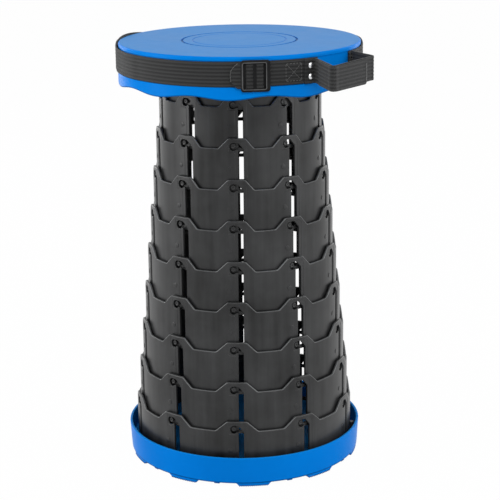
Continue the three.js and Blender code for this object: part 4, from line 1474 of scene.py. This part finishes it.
def adjuster():
    """Frame with a bead round its window, its crest given a painted highlight, a plainer bar across the
    middle, and a dark plate in the gap at each side that stands in for the shade there.
    """
    turn = Matrix.Rotation(math.radians(ADJUSTER_ANGLE), 4, "Z")
    front = ADJUSTER_BACK + ADJUSTER_THICKNESS
    height = STRAP_MIDDLE - ADJUSTER_DROP
    shell = Shell(lambda x, y, depth: turn @ Vector((x, depth - front, height + y)))

    def band(outline, lines):
        """Rows of (inset, depth, painted highlight share) from the adjuster's front to its back, with faces
        between them.
        """
        outline = spaced(outline, EDGE_STEP, closed=True)
        return shell.band([(shifted(outline, -inset, closed=True), *row) for inset, *row in lines])

    side = ADJUSTER_WIDTH / 2
    top = ADJUSTER_HEIGHT / 2
    window_top = top - ADJUSTER_END_BAR
    bar_top = window_top + INNER_ROUND
    back = ((0, ADJUSTER_THICKNESS - INNER_ROUND, 0), (INNER_ROUND, ADJUSTER_THICKNESS, 0))
    outer = box_outline(-side, side, -top, top, ADJUSTER_CORNER)
    window = box_outline(ADJUSTER_LEFT_BAR - side, side - ADJUSTER_RIGHT_BAR, -window_top, window_top,
                         ADJUSTER_WINDOW_CORNER)
    forms = [(band(outer, ADJUSTER_RIM + back), band(window[::-1], ADJUSTER_BEAD + back))]
    for ends, rim in ADJUSTER_BARS:
        forms.append((band(box_outline(*ends, -bar_top, bar_top, INNER_ROUND), rim),))
    for form in forms:
        shell.fill([rows[0] for rows in form])
        shell.fill([rows[-1] for rows in form], flip=True)
    piece("slide_adjuster_frame", shell, "black_gloss", "seat", ["slide_adjuster"])


def adjuster_webbing():
    """The strap's webbing where it rises into the adjuster's window, behind the middle bar."""
    path = []
    for place, rise in zip(ADJUSTER_WEB, (0, ADJUSTER_WEB_RISE, ADJUSTER_WEB_RISE, 0)):
        angle = ADJUSTER_ANGLE + math.degrees(place / ADJUSTER_BACK)
        path.append(plan_point(angle, STRAP_RADIUS + WEB_RIB_RISE + rise).to_2d())
    path = spaced(path, EDGE_STEP)
    shell, weave = swept(path, [-ADJUSTER_DROP] * len(path))
    piece("adjuster_webbing", shell, "webbing", "seat", (), weave)


# Surroundings

def camera():
    pitch, yaw, roll = (math.radians(turn) for turn in (CAMERA_PITCH, CAMERA_YAW, CAMERA_ROLL))
    ahead = Vector((math.sin(yaw) * math.cos(pitch), math.cos(yaw) * math.cos(pitch), -math.sin(pitch)))
    level = Vector((math.cos(yaw), -math.sin(yaw), 0))
    above = level.cross(ahead)
    right = level * math.cos(roll) + above * math.sin(roll)
    top = above * math.cos(roll) - level * math.sin(roll)
    data = bpy.data.cameras.new("camera")
    data.sensor_width = SENSOR_WIDTH
    data.lens = CAMERA_LENS
    made = bpy.data.objects.new("camera", data)
    made.matrix_world = Matrix.Translation(CAMERA_PLACE) @ Matrix((right, top, -ahead)).transposed().to_4x4()
    bpy.context.scene.collection.objects.link(made)
    bpy.context.scene.camera = made


def area_light(name, place, aim, size, power):
    """A light that faces the stool's axis at the height of its aim."""
    data = bpy.data.lights.new(name, "AREA")
    data.shape = "RECTANGLE"
    data.size, data.size_y = size
    data.energy = power
    made = bpy.data.objects.new(name, data)
    made.location = place
    made.rotation_euler = (Vector((0, 0, aim)) - Vector(place)).to_track_quat("-Z", "Y").to_euler()
    bpy.context.scene.collection.objects.link(made)


def direct_view(tree):
    """1 for rays that show the background directly or mirrored, otherwise 0."""
    rays = node(tree, "ShaderNodeLightPath").outputs
    kinds = ("Camera", "Glossy", "Transmission")
    seen, mirrored, passed = (Value(tree, rays[f"Is {kind} Ray"]) for kind in kinds)
    return seen.calc("MAXIMUM", mirrored).calc("MAXIMUM", passed)


def mixed_shader(share, first, second, output):
    tree = share.tree
    mix = node(tree, "ShaderNodeMixShader")
    for source, end in zip((share.socket, first.outputs[0], second.outputs[0]), mix.inputs):
        tree.links.new(source, end)
    tree.links.new(mix.outputs[0], tree.nodes[output].inputs["Surface"])


def surroundings():
    world = bpy.data.worlds.new("studio")
    bpy.context.scene.world = world
    world.use_nodes = True
    tree = world.node_tree
    soft = node(tree, "ShaderNodeBackground", (("Color", (*AMBIENT_COLOR, 1)), ("Strength", AMBIENT)))
    backdrop = tree.nodes["Background"]
    backdrop.inputs["Color"].default_value = (1, 1, 1, 1)
    backdrop.inputs["Strength"].default_value = 1
    mixed_shader(direct_view(tree), soft, backdrop, "World Output")

    bpy.ops.mesh.primitive_circle_add(vertices=FLOOR_CORNERS, radius=FLOOR_RADIUS, fill_type="NGON")
    floor = bpy.context.object
    floor.name = "floor"
    paint, tree = material("floor_paint", FLOOR_COLOR, FLOOR_ROUGHNESS)
    glow = node(tree, "ShaderNodeEmission")
    mixed_shader(direct_view(tree) * FLOOR_GLOW_SHARE, tree.nodes["Principled BSDF"], glow, "Material Output")
    floor.data.materials.append(paint)

    for light in LIGHTS:
        area_light(*light)
    bpy.context.scene.view_settings.view_transform = "Standard"


camera()
surroundings()
for number in range(1, RING_COUNT + 1):
    ring(number)
seat()
tray()
screws()
rivets()
strap()
strap_tail()
carry_loop()
stitching()
adjuster()
adjuster_webbing()
